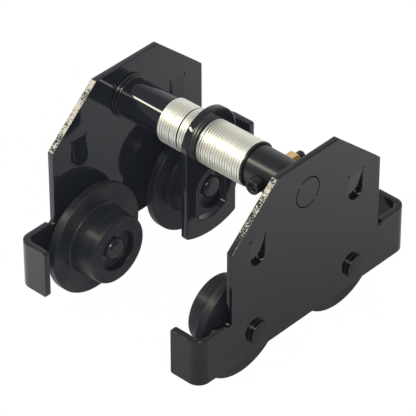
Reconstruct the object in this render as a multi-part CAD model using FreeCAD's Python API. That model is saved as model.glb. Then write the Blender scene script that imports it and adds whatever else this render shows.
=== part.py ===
import FreeCAD, Part
import math
import os

# Push beam trolley, shown standing on its wheel flanges as it is stored, which is upside
# down against its use. X runs along the load shaft, Y along the beam, Z up. The origin is
# on the floor, midway between the four wheels. Lengths are millimetres, angles degrees.

# Side plates: two bent sheets, one the other turned half a turn about Z
plate_gap = 181.6
plate_thickness = 5.5
plate_height = 150.0
plate_width = 168.5
plate_top_width = 69.6
shoulder_below_top = 43.4
lug_height = 42.2
lug_span = 240.4
lug_return = 29.9
bend_inner_radius = 5.1
lug_corner_radius = 2.0
corner_relief_radius = 2.5
plate_edge_break = 0.6

# Tongues lanced out of each side plate and bent inwards
tongue_spacing = 111.2
tongue_width = 15.2
tongue_length = 25.2
tongue_hinge_below_top = 42.6
tongue_angle = 8.2
tongue_bend_radius = 3.0
tongue_shear_gap = 0.25
tongue_relief_radius = 1.1

# Wheels: flanged, turned, each on one sealed ball bearing
wheel_base = 111.2
axle_height_on_plate = 18.1
flange_diameter = 95.0
flange_width = 8.0
flange_gap = 9.3
flange_edge_radius = 1.2
tread_width = 22.9
tread_front_diameter = 57.4
tread_root_diameter = 61.4
tread_root_fillet = 1.6
tread_edge_radius = 1.6
wheel_back_bore = 25.0
bore_chamfer = 0.8
bearing_recess = 7.9

# Ball bearing of the 15 x 35 x 11 size
bearing_bore = 15.0
bearing_outside = 35.0
bearing_width = 11.0
inner_ring_outside = 20.2
outer_ring_inside = 29.8
ball_diameter = 5.95
ball_count = 8
ball_clearance = 0.05
seal_thickness = 0.6
seal_inset = 0.3
seal_clearance = 0.15
ring_chamfer = 0.5

# Retaining ring that holds each bearing in its wheel
retaining_ring_thickness = 1.5
retaining_ring_inside = 29.6
retaining_ring_gap_angle = 50.0
retaining_groove_depth = 1.0
retaining_ear_radius = 2.2
retaining_ear_hole = 1.1
retaining_ear_offset = 1.1

# Axle pins: flat head inside the wheel, shank through spacer and plate, end riveted over
pin_head_diameter = 19.0
pin_head_inset = 1.2
pin_head_edge_radius = 1.2
rivet_diameter = 20.0
rivet_rim = 3.5
rivet_crown = 0.3
rivet_edge_radius = 0.4
spacer_diameter = 20.0

# Load shaft and the two pipes welded to the side plates
shaft_diameter = 25.0
shaft_below_plate_top = 30.8
shaft_end_chamfer = 0.6
plate_shaft_clearance = 0.7
sleeve_diameter = 33.7
sleeve_wall = 4.0
sleeve_left_length = 48.0
sleeve_right_length = 45.8
weld_leg_along = 4.8
weld_leg_out = 2.9
weld_bulge = 0.5
end_washer_diameter = 37.5
end_washer_thickness = 2.1

# Spacer washers that set the width between the plates
washer_diameter = 38.0
washer_bore = 26.4
washer_thickness = 2.5
right_washer_count = 18
left_outer_washer_count = 8
left_inner_washer_count = 5
washer_seat_gap = 0.05

# Hanger plate, free to swing on the shaft
hanger_thickness = 6.5
hanger_side_play = 0.35
hanger_bore_clearance = 0.1
hanger_width = 56.0
hanger_top_drop = 0.9
hanger_bottom_below_shaft = 87.7
hanger_bottom_sagitta = 6.0
hanger_corner_radius = 3.0
hanger_edge_radius = 1.0
window_width = 33.0
window_arch_below_shaft = 44.2
window_foot_below_shaft = 67.0
window_bottom_sagitta = 5.6
window_edge_radius = 0.8

# Cross bolt that locks the right pipe to the shaft, size M8
bolt_diameter = 8.0
bolt_length = 50.0
bolt_head_diameter = 13.0
bolt_head_height = 8.0
bolt_head_edge_radius = 0.9
bolt_socket_across_flats = 6.0
bolt_socket_depth = 4.0
bolt_socket_countersink = 8.6
bolt_tip_chamfer = 0.9
bolt_hole_clearance = 0.2
bolt_from_plate = 29.5
nut_across_flats = 13.0
nut_height = 8.0
nut_chamfer_angle = 30.0

# Distance below which two points of an outline count as the same place
same_place = 0.01

# Width of a hexagon across its corners, as a share of its width across flats
hexagon_corner_share = 2 / math.sqrt(3)

# Sizes worked out from the ones above
inner_face = plate_gap / 2
outer_face = inner_face + plate_thickness
axle_height = flange_diameter / 2
plate_base = axle_height - axle_height_on_plate
shoulder_height = plate_height - shoulder_below_top
tongue_hinge_height = plate_height - tongue_hinge_below_top
shaft_height_on_plate = plate_height - shaft_below_plate_top
shaft_height = plate_base + shaft_height_on_plate
bend_outer_radius = bend_inner_radius + plate_thickness
wheel_width = flange_width + tread_width
wheel_front = flange_gap + wheel_width
bearing_front = wheel_front - bearing_recess
bearing_back = bearing_front - bearing_width
pin_head_face = wheel_front - pin_head_inset
shaft_radius = shaft_diameter / 2
sleeve_radius = sleeve_diameter / 2
bolt_x = inner_face - bolt_from_plate
left_stack_start = -inner_face + sleeve_left_length
right_stack_end = inner_face - sleeve_right_length - end_washer_thickness
right_stack_start = right_stack_end - right_washer_count * washer_thickness
hanger_right_face = right_stack_start - hanger_side_play
hanger_left_face = hanger_right_face - hanger_thickness

X_AXIS = FreeCAD.Vector(1, 0, 0)
Y_AXIS = FreeCAD.Vector(0, 1, 0)
Z_AXIS = FreeCAD.Vector(0, 0, 1)
ORIGIN = FreeCAD.Vector(0, 0, 0)

# Directions in a turned profile: along the axis, and away from or towards it
FORWARDS = (1, 0)
BACKWARDS = (-1, 0)
OUTWARDS = (0, 1)
INWARDS = (0, -1)


def vec(x, y, z):
    return FreeCAD.Vector(x, y, z)


def closed_face(*edges):
    """Face bounded by edges that are given in order round it."""
    return Part.Face(Part.Wire(list(edges)))


def line(start, end):
    return Part.LineSegment(start, end).toShape()


def arc(start, middle, end):
    return Part.Arc(start, middle, end).toShape()


def turned(profile):
    """Solid turned about the X axis from (x, radius) corners, which may name an arc's middle."""
    edges = []
    corners = [entry for entry in profile if len(entry) == 2]
    middles = {}
    count = -1
    for entry in profile:
        if len(entry) == 2:
            count += 1
        else:
            middles[count] = vec(entry[0], entry[1], 0)
    for index, corner in enumerate(corners):
        start = vec(corner[0], corner[1], 0)
        following = corners[(index + 1) % len(corners)]
        end = vec(following[0], following[1], 0)
        if index in middles:
            edges.append(arc(start, middles[index], end))
        else:
            edges.append(line(start, end))
    return closed_face(*edges).revolve(ORIGIN, X_AXIS, 360)


def rounded(x, radius, come, leave, size):
    """Start, middle and end of the arc that rounds a turned profile's square corner.

    The directions run from the corner at (x, radius) back along the edge that comes to it
    and on along the edge that leaves it.
    """
    cut = size * (1 - math.sqrt(0.5))
    return [
        (x + come[0] * size, radius + come[1] * size),
        (x + (come[0] + leave[0]) * cut, radius + (come[1] + leave[1]) * cut, "arc"),
        (x + leave[0] * size, radius + leave[1] * size),
    ]


def ring(x_start, x_end, inside, outside, chamfer=0.0):
    """Plain ring about the X axis, its outer corners chamfered."""
    if chamfer == 0.0:
        return turned([(x_start, inside), (x_end, inside), (x_end, outside), (x_start, outside)])
    return turned([
        (x_start, inside), (x_end, inside), (x_end, outside - chamfer),
        (x_end - chamfer, outside), (x_start + chamfer, outside), (x_start, outside - chamfer),
    ])


def cylinder(start, direction, diameter, length):
    return Part.makeCylinder(diameter / 2, length, start, direction)


def hexagon(across_flats, start, length):
    """Hexagonal prism along Y with two flats facing up and down."""
    corner_radius = across_flats / 2 * hexagon_corner_share
    corners = []
    for index in range(6):
        angle = math.radians(60 * index)
        corners.append(start + vec(corner_radius * math.cos(angle), 0, corner_radius * math.sin(angle)))
    corners.append(corners[0])
    return Part.Face(Part.makePolygon(corners)).extrude(vec(0, length, 0))


def lug_band():
    """Lower band of the side plate with its two lugs bent inwards, drawn from above."""
    half = lug_span / 2
    diagonal = 1 - math.sqrt(0.5)
    tip = plate_thickness - lug_return
    bend_start = half - bend_outer_radius
    outer_x = plate_thickness - bend_outer_radius
    outer_middle = vec(
        plate_thickness - bend_outer_radius * diagonal,
        half - bend_outer_radius * diagonal, 0)
    inner_middle = vec(
        -bend_inner_radius * diagonal,
        half - plate_thickness - bend_inner_radius * diagonal, 0)
    band = closed_face(
        line(vec(0, 0, 0), vec(plate_thickness, 0, 0)),
        line(vec(plate_thickness, 0, 0), vec(plate_thickness, bend_start, 0)),
        arc(vec(plate_thickness, bend_start, 0), outer_middle, vec(outer_x, half, 0)),
        line(vec(outer_x, half, 0), vec(tip, half, 0)),
        line(vec(tip, half, 0), vec(tip, half - plate_thickness, 0)),
        line(vec(tip, half - plate_thickness, 0), vec(outer_x, half - plate_thickness, 0)),
        arc(vec(outer_x, half - plate_thickness, 0), inner_middle, vec(0, bend_start, 0)),
        line(vec(0, bend_start, 0), vec(0, 0, 0)),
    ).extrude(vec(0, 0, lug_height))
    tip_edges = []
    for edge in band.Edges:
        centre = edge.CenterOfMass
        at_tip = abs(centre.x - tip) < same_place
        across = abs(edge.Length - plate_thickness) < same_place
        if at_tip and across and min(centre.z, lug_height - centre.z) < same_place:
            tip_edges.append(edge)
    band = band.makeFillet(lug_corner_radius, tip_edges)
    return band.fuse(band.mirror(ORIGIN, Y_AXIS))


def plate_outline():
    """Flat of the side plate: upright sides, sloping shoulders, level top."""
    half = plate_width / 2
    top = plate_top_width / 2
    corners = [
        (-half, 0), (half, 0), (half, shoulder_height), (top, plate_height),
        (-top, plate_height), (-half, shoulder_height), (-half, 0),
    ]
    wire = Part.makePolygon([vec(0, y, z) for y, z in corners])
    return Part.Face(wire).extrude(vec(plate_thickness, 0, 0))


def tongue_face(half_width, length):
    """U-shaped outline that hangs from the hinge line, in the plane of the plate's inner face."""
    straight = length - half_width
    low = tongue_hinge_height - straight
    top_left = vec(0, -half_width, tongue_hinge_height)
    top_right = vec(0, half_width, tongue_hinge_height)
    low_left = vec(0, -half_width, low)
    low_right = vec(0, half_width, low)
    return closed_face(
        line(top_left, top_right), line(top_right, low_right),
        arc(low_right, vec(0, 0, low - half_width), low_left), line(low_left, top_left))


def tongue_window():
    """Sheet removed round a tongue, with a round relief at each end of the hinge line."""
    window = tongue_face(tongue_width / 2 + tongue_shear_gap, tongue_length + tongue_shear_gap)
    cutter = window.extrude(vec(plate_thickness, 0, 0))
    for end in (-1, 1):
        corner = vec(0, end * (tongue_width / 2 + tongue_shear_gap), tongue_hinge_height)
        cutter = cutter.fuse(cylinder(corner, X_AXIS, 2 * tongue_relief_radius, plate_thickness))
    return cutter


def bent_tongue():
    """Tongue with its bend: the neutral line keeps the length of the window."""
    half = tongue_width / 2
    bend_centre = vec(-tongue_bend_radius, 0, tongue_hinge_height)
    section = Part.Face(Part.makePolygon([
        vec(0, -half, tongue_hinge_height), vec(0, half, tongue_hinge_height),
        vec(plate_thickness, half, tongue_hinge_height),
        vec(plate_thickness, -half, tongue_hinge_height), vec(0, -half, tongue_hinge_height),
    ]))
    bend = section.revolve(bend_centre, Y_AXIS, tongue_angle)
    neutral_arc = (tongue_bend_radius + plate_thickness / 2) * math.radians(tongue_angle)
    leg = tongue_face(half, tongue_length - neutral_arc).extrude(vec(plate_thickness, 0, 0))
    leg.rotate(bend_centre, Y_AXIS, tongue_angle)
    return bend, leg


def side_plate():
    """Right side plate in its place: outline, lugs, holes for shaft and axles, two tongues."""
    plate = plate_outline().fuse(lug_band()).removeSplitter()
    for side in (-1, 1):
        relief = vec(0, side * (plate_width / 2 + corner_relief_radius), lug_height)
        plate = plate.cut(cylinder(relief, X_AXIS, 2 * corner_relief_radius, plate_thickness))
    plate = plate.makeChamfer(plate_edge_break, perimeter_edges(plate))
    shaft_hole = shaft_diameter + 2 * plate_shaft_clearance
    plate = plate.cut(cylinder(vec(0, 0, shaft_height_on_plate), X_AXIS, shaft_hole, plate_thickness))
    for side in (-1, 1):
        axle = vec(0, side * wheel_base / 2, axle_height_on_plate)
        plate = plate.cut(cylinder(axle, X_AXIS, bearing_bore, plate_thickness))
        shift = vec(0, side * tongue_spacing / 2, 0)
        plate = plate.cut(tongue_window().translated(shift))
        for piece in bent_tongue():
            plate = plate.fuse(piece.translated(shift))
    return plate.removeSplitter().translated(vec(inner_face, 0, plate_base))


def perimeter_edges(plate):
    """Straight edges round the flat of the sheet, on its inner and outer faces."""
    chosen = []
    for edge in plate.Edges:
        ends = [vertex.Point for vertex in edge.Vertexes]
        straight = isinstance(edge.Curve, Part.Line)
        on_face = any(all(abs(end.x - x) < same_place for end in ends) for x in (0, plate_thickness))
        above_lugs = min(end.z for end in ends) > lug_height
        if straight and on_face and above_lugs:
            chosen.append(edge)
    return chosen


def wheel_solid():
    """Flanged wheel turned about X; x is the distance from the side plate's inner face."""
    back = flange_gap
    front = wheel_front
    flange_front = back + flange_width
    flange_radius = flange_diameter / 2
    root_radius = tread_root_diameter / 2
    front_radius = tread_front_diameter / 2
    seat = bearing_outside / 2
    groove_end = bearing_front + retaining_ring_thickness
    profile = [
        (back, wheel_back_bore / 2 + bore_chamfer),
        (back + bore_chamfer, wheel_back_bore / 2),
        (bearing_back, wheel_back_bore / 2),
        (bearing_back, seat),
        (bearing_front, seat),
        (bearing_front, seat + retaining_groove_depth),
        (groove_end, seat + retaining_groove_depth),
        (groove_end, seat),
        (front - bore_chamfer, seat),
        (front, seat + bore_chamfer),
        *rounded(front, front_radius, INWARDS, BACKWARDS, tread_edge_radius),
        *rounded(flange_front, root_radius, FORWARDS, OUTWARDS, tread_root_fillet),
        *rounded(flange_front, flange_radius, INWARDS, BACKWARDS, flange_edge_radius),
        *rounded(back, flange_radius, FORWARDS, INWARDS, flange_edge_radius),
    ]
    return turned(profile)


def race_groove(side_radius):
    """Ring of round section that a ball row runs in, about X at the bearing's middle."""
    middle = (bearing_front + bearing_back) / 2
    return Part.makeTorus(pitch_radius(), side_radius, vec(middle, 0, 0), X_AXIS)


def pitch_radius():
    return (inner_ring_outside + outer_ring_inside) / 4


def bearing_outer_ring():
    body = ring(bearing_back, bearing_front, outer_ring_inside / 2, bearing_outside / 2, ring_chamfer)
    return body.cut(race_groove(ball_diameter / 2 + ball_clearance))


def bearing_inner_ring():
    body = ring(bearing_back, bearing_front, bearing_bore / 2, inner_ring_outside / 2)
    return body.cut(race_groove(ball_diameter / 2 + ball_clearance))


def bearing_balls():
    middle = (bearing_front + bearing_back) / 2
    balls = []
    for index in range(ball_count):
        angle = 2 * math.pi * index / ball_count
        centre = vec(middle, pitch_radius() * math.cos(angle), pitch_radius() * math.sin(angle))
        balls.append(Part.makeSphere(ball_diameter / 2, centre))
    return Part.makeCompound(balls)


def bearing_seals():
    inside = inner_ring_outside / 2 + seal_clearance
    outside = outer_ring_inside / 2
    front_face = bearing_front - seal_inset
    back_face = bearing_back + seal_inset
    return Part.makeCompound([
        ring(front_face - seal_thickness, front_face, inside, outside),
        ring(back_face, back_face + seal_thickness, inside, outside),
    ])


def retaining_ring():
    """Open spring ring in the wheel's groove, with an ear and a plier hole at each end."""
    groove_radius = bearing_outside / 2 + retaining_groove_depth
    inside = retaining_ring_inside / 2
    front = bearing_front + retaining_ring_thickness
    body = ring(bearing_front, front, inside, groove_radius)
    reach = groove_radius * 2
    half_gap = math.radians(retaining_ring_gap_angle / 2)
    gap = Part.Face(Part.makePolygon([
        vec(bearing_front, 0, 0),
        vec(bearing_front, reach * math.sin(half_gap), reach * math.cos(half_gap)),
        vec(bearing_front, -reach * math.sin(half_gap), reach * math.cos(half_gap)),
        vec(bearing_front, 0, 0),
    ])).extrude(vec(retaining_ring_thickness, 0, 0))
    body = body.cut(gap)
    ear_radius = inside + retaining_ear_offset
    for end in (-1, 1):
        centre = vec(bearing_front, end * ear_radius * math.sin(half_gap), ear_radius * math.cos(half_gap))
        body = body.fuse(cylinder(centre, X_AXIS, 2 * retaining_ear_radius, retaining_ring_thickness))
        body = body.cut(cylinder(centre, X_AXIS, 2 * retaining_ear_hole, retaining_ring_thickness))
    return body.removeSplitter()


def axle_spacer():
    return ring(0, bearing_back, bearing_bore / 2, spacer_diameter / 2)


def crown_middle(radius, rise, edge_x):
    """Middle point of a shallow crown's arc, which rises backwards from its edge to the axis."""
    ball = (radius ** 2 + rise ** 2) / (2 * rise)
    angle = math.asin(radius / ball) / 2
    return (edge_x - rise + ball * (1 - math.cos(angle)), ball * math.sin(angle), "arc")


def axle_pin():
    """Stepped pin: riveted end outside the plate, shank, and flat head inside the wheel."""
    shank = bearing_bore / 2
    rivet = rivet_diameter / 2
    head = pin_head_diameter / 2
    rivet_edge = -plate_thickness - rivet_rim
    return turned([
        (rivet_edge - rivet_crown, 0),
        crown_middle(rivet - rivet_edge_radius, rivet_crown, rivet_edge),
        *rounded(rivet_edge, rivet, INWARDS, FORWARDS, rivet_edge_radius),
        (-plate_thickness, rivet),
        (-plate_thickness, shank),
        (bearing_front, shank),
        (bearing_front, head),
        *rounded(pin_head_face, head, BACKWARDS, INWARDS, pin_head_edge_radius),
        (pin_head_face, 0),
    ])


def at_wheel(shape, side, end):
    """Puts a piece drawn from the right plate's inner face at one of the four wheels."""
    piece = shape.copy()
    if side > 0:
        piece.rotate(ORIGIN, Z_AXIS, 180)
    piece.translate(vec(side * inner_face, end * wheel_base / 2, axle_height))
    return piece


def sleeve(length, side):
    """Pipe from a side plate's inner face towards the middle."""
    start = inner_face - length
    pipe = ring(start, inner_face, sleeve_radius - sleeve_wall, sleeve_radius)
    if side < 0:
        pipe.rotate(ORIGIN, Z_AXIS, 180)
    return pipe.translated(vec(0, 0, shaft_height))


def sleeve_weld(side):
    """Fillet weld round the pipe's root, slightly domed."""
    middle_x = inner_face - weld_leg_along / 2 - weld_bulge
    middle_radius = sleeve_radius + weld_leg_out / 2 + weld_bulge
    bead = turned([
        (inner_face, sleeve_radius),
        (inner_face - weld_leg_along, sleeve_radius),
        (middle_x, middle_radius, "arc"),
        (inner_face, sleeve_radius + weld_leg_out),
    ])
    if side < 0:
        bead.rotate(ORIGIN, Z_AXIS, 180)
    return bead.translated(vec(0, 0, shaft_height))


def bolt_hole():
    """Cross hole for the locking bolt through pipe and shaft, along Y."""
    diameter = bolt_diameter + 2 * bolt_hole_clearance
    start = vec(bolt_x, -sleeve_diameter, shaft_height)
    return cylinder(start, Y_AXIS, diameter, 2 * sleeve_diameter)


def sleeve_right():
    """Right pipe with the cross hole for the locking bolt."""
    return sleeve(sleeve_right_length, 1).cut(bolt_hole())


def load_shaft():
    shaft = ring(-outer_face, outer_face, 0, shaft_radius, shaft_end_chamfer)
    return shaft.translated(vec(0, 0, shaft_height)).cut(bolt_hole())


def washer(start):
    """One spacer washer, hanging on the shaft by the top of its bore."""
    drop = washer_bore / 2 - shaft_radius - washer_seat_gap
    piece = ring(start, start + washer_thickness, washer_bore / 2, washer_diameter / 2)
    return piece.translated(vec(0, 0, shaft_height - drop))


def washer_row(start, count):
    return [washer(start + index * washer_thickness) for index in range(count)]


def spacer_washers_left():
    """Left stack: one group against the pipe and one against the hanger's play."""
    inner_start = hanger_left_face - hanger_side_play - left_inner_washer_count * washer_thickness
    washers = washer_row(left_stack_start, left_outer_washer_count)
    return Part.makeCompound(washers + washer_row(inner_start, left_inner_washer_count))


def sleeve_end_washer():
    piece = ring(right_stack_end, right_stack_end + end_washer_thickness,
                 sleeve_radius - sleeve_wall, end_washer_diameter / 2)
    return piece.translated(vec(0, 0, shaft_height))


def hanger_outline():
    """Long plate with a round head; the foot is a shallow arc between rounded corners."""
    half = hanger_width / 2
    head = vec(0, 0, shaft_height - hanger_top_drop)
    low = shaft_height - hanger_bottom_below_shaft
    corner = low + hanger_bottom_sagitta
    blank = closed_face(
        arc(head + vec(0, half, 0), head + vec(0, 0, half), head - vec(0, half, 0)),
        line(head - vec(0, half, 0), vec(0, -half, corner)),
        arc(vec(0, -half, corner), vec(0, 0, low), vec(0, half, corner)),
        line(vec(0, half, corner), head + vec(0, half, 0)),
    ).extrude(vec(hanger_thickness, 0, 0))
    foot = [
        edge for edge in blank.Edges
        if abs(edge.CenterOfMass.z - corner) < same_place
        and abs(edge.Length - hanger_thickness) < same_place
    ]
    return blank.makeFillet(hanger_corner_radius, foot)


def hanger_window():
    """Opening for the hoist's hook: round arch, straight sides, shallow round foot."""
    half = window_width / 2
    arch = vec(0, 0, shaft_height - window_arch_below_shaft)
    foot = shaft_height - window_foot_below_shaft
    return closed_face(
        arc(arch + vec(0, half, 0), arch + vec(0, 0, half), arch - vec(0, half, 0)),
        line(arch - vec(0, half, 0), vec(0, -half, foot)),
        arc(vec(0, -half, foot), vec(0, 0, foot - window_bottom_sagitta), vec(0, half, foot)),
        line(vec(0, half, foot), arch + vec(0, half, 0)),
    ).extrude(vec(hanger_thickness, 0, 0))


def flat_edges(solid):
    """Edges that bound the two flat faces of a plate drawn from x = 0."""
    return [
        edge for edge in solid.Edges
        if edge.BoundBox.XLength < same_place
    ]


def hanger_plate():
    blank = hanger_outline()
    blank = blank.makeFillet(hanger_edge_radius, flat_edges(blank))
    opening = hanger_window()
    plate = blank.cut(opening)
    half = window_width / 2 + same_place
    rim = []
    for edge in flat_edges(plate):
        box = edge.BoundBox
        if box.YMax < half and box.YMin > -half:
            rim.append(edge)
    plate = plate.makeFillet(window_edge_radius, rim)
    bore = shaft_diameter + 2 * hanger_bore_clearance
    plate = plate.cut(cylinder(vec(0, 0, shaft_height), X_AXIS, bore, hanger_thickness))
    return plate.translated(vec(hanger_left_face, 0, 0))


def lock_bolt():
    """Socket-head bolt along Y, its head towards the front and resting on the round pipe."""
    seat = vec(bolt_x, -sleeve_radius, shaft_height)
    shank = cylinder(seat, Y_AXIS, bolt_diameter, bolt_length)
    tip = [edge for edge in shank.Edges if abs(edge.CenterOfMass.y - seat.y - bolt_length) < same_place]
    shank = shank.makeChamfer(bolt_tip_chamfer, tip)
    head = cylinder(seat, -Y_AXIS, bolt_head_diameter, bolt_head_height)
    rim = [edge for edge in head.Edges if abs(edge.CenterOfMass.y - seat.y + bolt_head_height) < same_place]
    head = head.makeFillet(bolt_head_edge_radius, rim)
    socket_start = seat - vec(0, bolt_head_height, 0)
    wide = bolt_socket_countersink / 2
    narrow = bolt_socket_across_flats / 2
    countersink = Part.makeCone(wide, narrow, wide - narrow, socket_start, Y_AXIS)
    bolt = head.fuse(shank).cut(countersink)
    return bolt.cut(hexagon(bolt_socket_across_flats, socket_start, bolt_socket_depth)).removeSplitter()


def lock_nut():
    """Hexagon nut with the usual turned corners."""
    start = vec(bolt_x, sleeve_radius, shaft_height)
    body = hexagon(nut_across_flats, start, nut_height)
    corner_radius = nut_across_flats / 2 * hexagon_corner_share
    slope = math.tan(math.radians(nut_chamfer_angle))
    cone_height = corner_radius * slope
    rise = nut_height + (nut_across_flats / 2 - corner_radius) * slope
    cone = Part.makeCone(corner_radius, 0, cone_height, start + vec(0, rise, 0), Y_AXIS)
    barrel = cylinder(start, Y_AXIS, 2 * corner_radius, rise)
    body = body.common(barrel.fuse(cone))
    return body.cut(cylinder(start, Y_AXIS, bolt_diameter, nut_height + cone_height))


def export(name, shape):
    shape.exportStep(os.path.join("parts", name + ".step"))


def main():
    os.makedirs("parts", exist_ok=True)
    plate = side_plate()
    export("side_plate_right", plate)
    other_plate = plate.copy()
    other_plate.rotate(ORIGIN, Z_AXIS, 180)
    export("side_plate_left", other_plate)
    export("load_shaft", load_shaft())
    export("sleeve_right", sleeve_right())
    export("sleeve_left", sleeve(sleeve_left_length, -1))
    export("sleeve_weld_right", sleeve_weld(1))
    export("sleeve_weld_left", sleeve_weld(-1))
    export("sleeve_end_washer", sleeve_end_washer())
    export("spacer_washers_right", Part.makeCompound(washer_row(right_stack_start, right_washer_count)))
    export("spacer_washers_left", spacer_washers_left())
    export("hanger_plate", hanger_plate())
    export("lock_bolt", lock_bolt())
    export("lock_nut", lock_nut())
    pieces = {
        "wheel": wheel_solid(),
        "bearing_outer_ring": bearing_outer_ring(),
        "bearing_inner_ring": bearing_inner_ring(),
        "bearing_balls": bearing_balls(),
        "bearing_seals": bearing_seals(),
        "retaining_ring": retaining_ring(),
        "axle_pin": axle_pin(),
        "axle_spacer": axle_spacer(),
    }
    for side, side_name in ((-1, "left"), (1, "right")):
        for end, end_name in ((-1, "front"), (1, "rear")):
            for name, shape in pieces.items():
                export(f"{name}_{end_name}_{side_name}", at_wheel(shape, side, end))


main()
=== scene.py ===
import logging
import math
from abc import ABC, abstractmethod
from dataclasses import dataclass, field, replace
from enum import Enum
from typing import Callable, Sequence

import bpy
import numpy as np
from mathutils import Matrix, Vector, geometry


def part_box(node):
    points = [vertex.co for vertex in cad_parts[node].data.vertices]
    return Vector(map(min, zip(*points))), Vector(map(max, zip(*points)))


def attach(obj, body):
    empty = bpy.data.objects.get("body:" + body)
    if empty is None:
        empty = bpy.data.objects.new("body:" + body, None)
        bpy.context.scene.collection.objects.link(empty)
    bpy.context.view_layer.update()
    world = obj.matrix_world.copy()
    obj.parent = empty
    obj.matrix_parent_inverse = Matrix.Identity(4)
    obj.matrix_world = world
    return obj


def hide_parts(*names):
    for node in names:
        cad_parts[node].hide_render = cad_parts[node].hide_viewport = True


# Looks of a push beam trolley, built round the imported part. Lengths are millimetres and angles
# degrees, unless a name says otherwise. Each piece is worked out as whole numpy arrays in the
# part's own place, and its object sits at the origin.

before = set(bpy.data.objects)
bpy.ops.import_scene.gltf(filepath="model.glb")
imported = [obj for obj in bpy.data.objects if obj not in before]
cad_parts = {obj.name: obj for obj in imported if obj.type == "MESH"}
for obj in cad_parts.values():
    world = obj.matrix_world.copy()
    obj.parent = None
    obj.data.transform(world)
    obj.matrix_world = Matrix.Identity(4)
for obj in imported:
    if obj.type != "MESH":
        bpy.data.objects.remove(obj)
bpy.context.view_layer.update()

Array = np.ndarray
Pair = tuple[float, float]
Triple = tuple[float, float, float]
Corner = Triple
Colour = Triple

METRES = 0.001
FULL_TURN = 2 * math.pi
QUARTER_TURN = math.pi / 2
MIRROR = np.array([-1, 1])
WHITE: Colour = (1.0, 1.0, 1.0)
LOG = logging.getLogger("beam_trolley")

# The least corner radius, the least squared length of a mitre, and a difference that counts as none.
SHARP = 0.01
MITRE_LIMIT = 0.3
TINY = 1e-6

# Name of the number that a mesh carries for its finish's second look, and the middle of a noise.
SHARE = "second_look"
MIDDLE = 0.5

# Sockets of Blender's Mix node for colours: its share, its two colours and its result.
MIX_SHARE, MIX_FIRST, MIX_SECOND, MIX_RESULT = 0, 6, 7, 2


class Sign(Enum):
    """A side or an end of the trolley, with its sign along its axis."""

    @property
    def word(self) -> str:
        """Its name as the CAD nodes spell it."""
        return self.name.lower()


class Side(Sign):
    """Side of the trolley, with its sign along X."""

    LEFT = -1
    RIGHT = 1


class End(Sign):
    """End of the trolley, with its sign along Y."""

    FRONT = -1
    REAR = 1


class Body(Enum):
    """Bodies of the part that are not wheels."""

    FRAME = "frame"
    HANGER = "hanger"


class Slot(Enum):
    """Material slots of the record that the scene's own pieces take."""

    PAINT = "black_gloss_paint"
    WHEEL_PAINT = "black_wheel_paint"
    ZINC = "bright_zinc"
    YELLOW_ZINC = "yellow_zinc"
    OXIDE = "black_oxide_steel"


def cad_corners(node: str) -> Array:
    """Lowest and highest corner of a CAD node, in millimetres."""
    return np.array([list(corner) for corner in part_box(node)]) / METRES


def cad_radius(node: str) -> float:
    """Half of a CAD node's height, which is its radius where it is turned about X."""
    low, high = cad_corners(node)
    return (high[2] - low[2]) / 2


# Outlines and surfaces


def rounded(corners: Sequence[Corner], closed: bool = True, steps: int = 6, guard: float = 0.12) -> Array:
    """Outline whose corners are replaced by arcs.

    Formula: an arc starts and ends at radius / tan(half the corner's angle) along the two sides, and
    the direction from its centre turns evenly from the first to the second. A guard point before and
    after each arc keeps the shading of the straight stretches even.

    Args:
        corners: Rows of first coordinate, second coordinate and corner radius.
        closed: Whether the last corner joins the first. An open outline keeps its two end points.
        steps: Points on each arc.
        guard: Distance of the guard points from the arcs.

    Returns:
        Points of the outline, one row each.
    """
    data = np.asarray(corners, float)
    points = data[:, :2]
    radius = np.maximum(data[:, 2:], SHARP)
    before = np.roll(points, 1, 0) - points
    after = np.roll(points, -1, 0) - points
    before /= np.linalg.norm(before, axis=1, keepdims=True)
    after /= np.linalg.norm(after, axis=1, keepdims=True)
    half = np.arccos(np.clip((before * after).sum(1, keepdims=True), -1, 1)) / 2
    bisector = before + after
    bisector /= np.linalg.norm(bisector, axis=1, keepdims=True)
    reach = radius / np.tan(half)
    centre = points + bisector * radius / np.sin(half)
    first = points + before * reach - centre
    last = points + after * reach - centre
    sweep = (math.pi - 2 * half)[:, None, :]
    share = np.linspace(0, 1, steps)[None, :, None]
    arcs = centre[:, None] + (
        np.sin((1 - share) * sweep) * first[:, None] + np.sin(share * sweep) * last[:, None]
    ) / np.sin(sweep)
    lead = (centre + first + before * guard)[:, None]
    trail = (centre + last + after * guard)[:, None]
    full = np.concatenate([lead, arcs, trail], axis=1)
    if closed:
        return full.reshape(-1, 2)
    return np.concatenate([points[:1], full[1:-1].reshape(-1, 2), points[-1:]])


def angles(count: int) -> Array:
    """Angles evenly round a full turn, from 0."""
    return np.arange(count) / count * FULL_TURN


def arc(centre: Pair, radius: float, turn: Array) -> Array:
    """Points of a circle at the given angles."""
    return np.stack([centre[0] + radius * np.cos(turn), centre[1] + radius * np.sin(turn)], 1)


def hole(centre: Pair, radius: float, count: int) -> Array:
    """Outline of a round hole, clockwise."""
    return arc(centre, radius, -angles(count))


def resampled(loop: Array, spacing: float) -> Array:
    """Closed outline with extra points on its long stretches.

    Formula: each stretch is cut into equal parts no longer than the spacing, and the place of every
    part's start is read off the outline by its distance along it.

    Args:
        loop: Points of the closed outline.
        spacing: Longest stretch that is left.

    Returns:
        Points of the finer outline.
    """
    closed = np.concatenate([loop, loop[:1]])
    lengths = np.linalg.norm(np.diff(closed, axis=0), axis=1)
    parts = np.maximum(np.ceil(lengths / spacing), 1).astype(int)
    start = np.repeat(np.arange(len(loop)), parts)
    offset = np.arange(parts.sum()) - np.repeat(np.cumsum(parts) - parts, parts)
    share = (offset / parts[start])[:, None]
    return closed[start] * (1 - share) + closed[start + 1] * share


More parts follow.
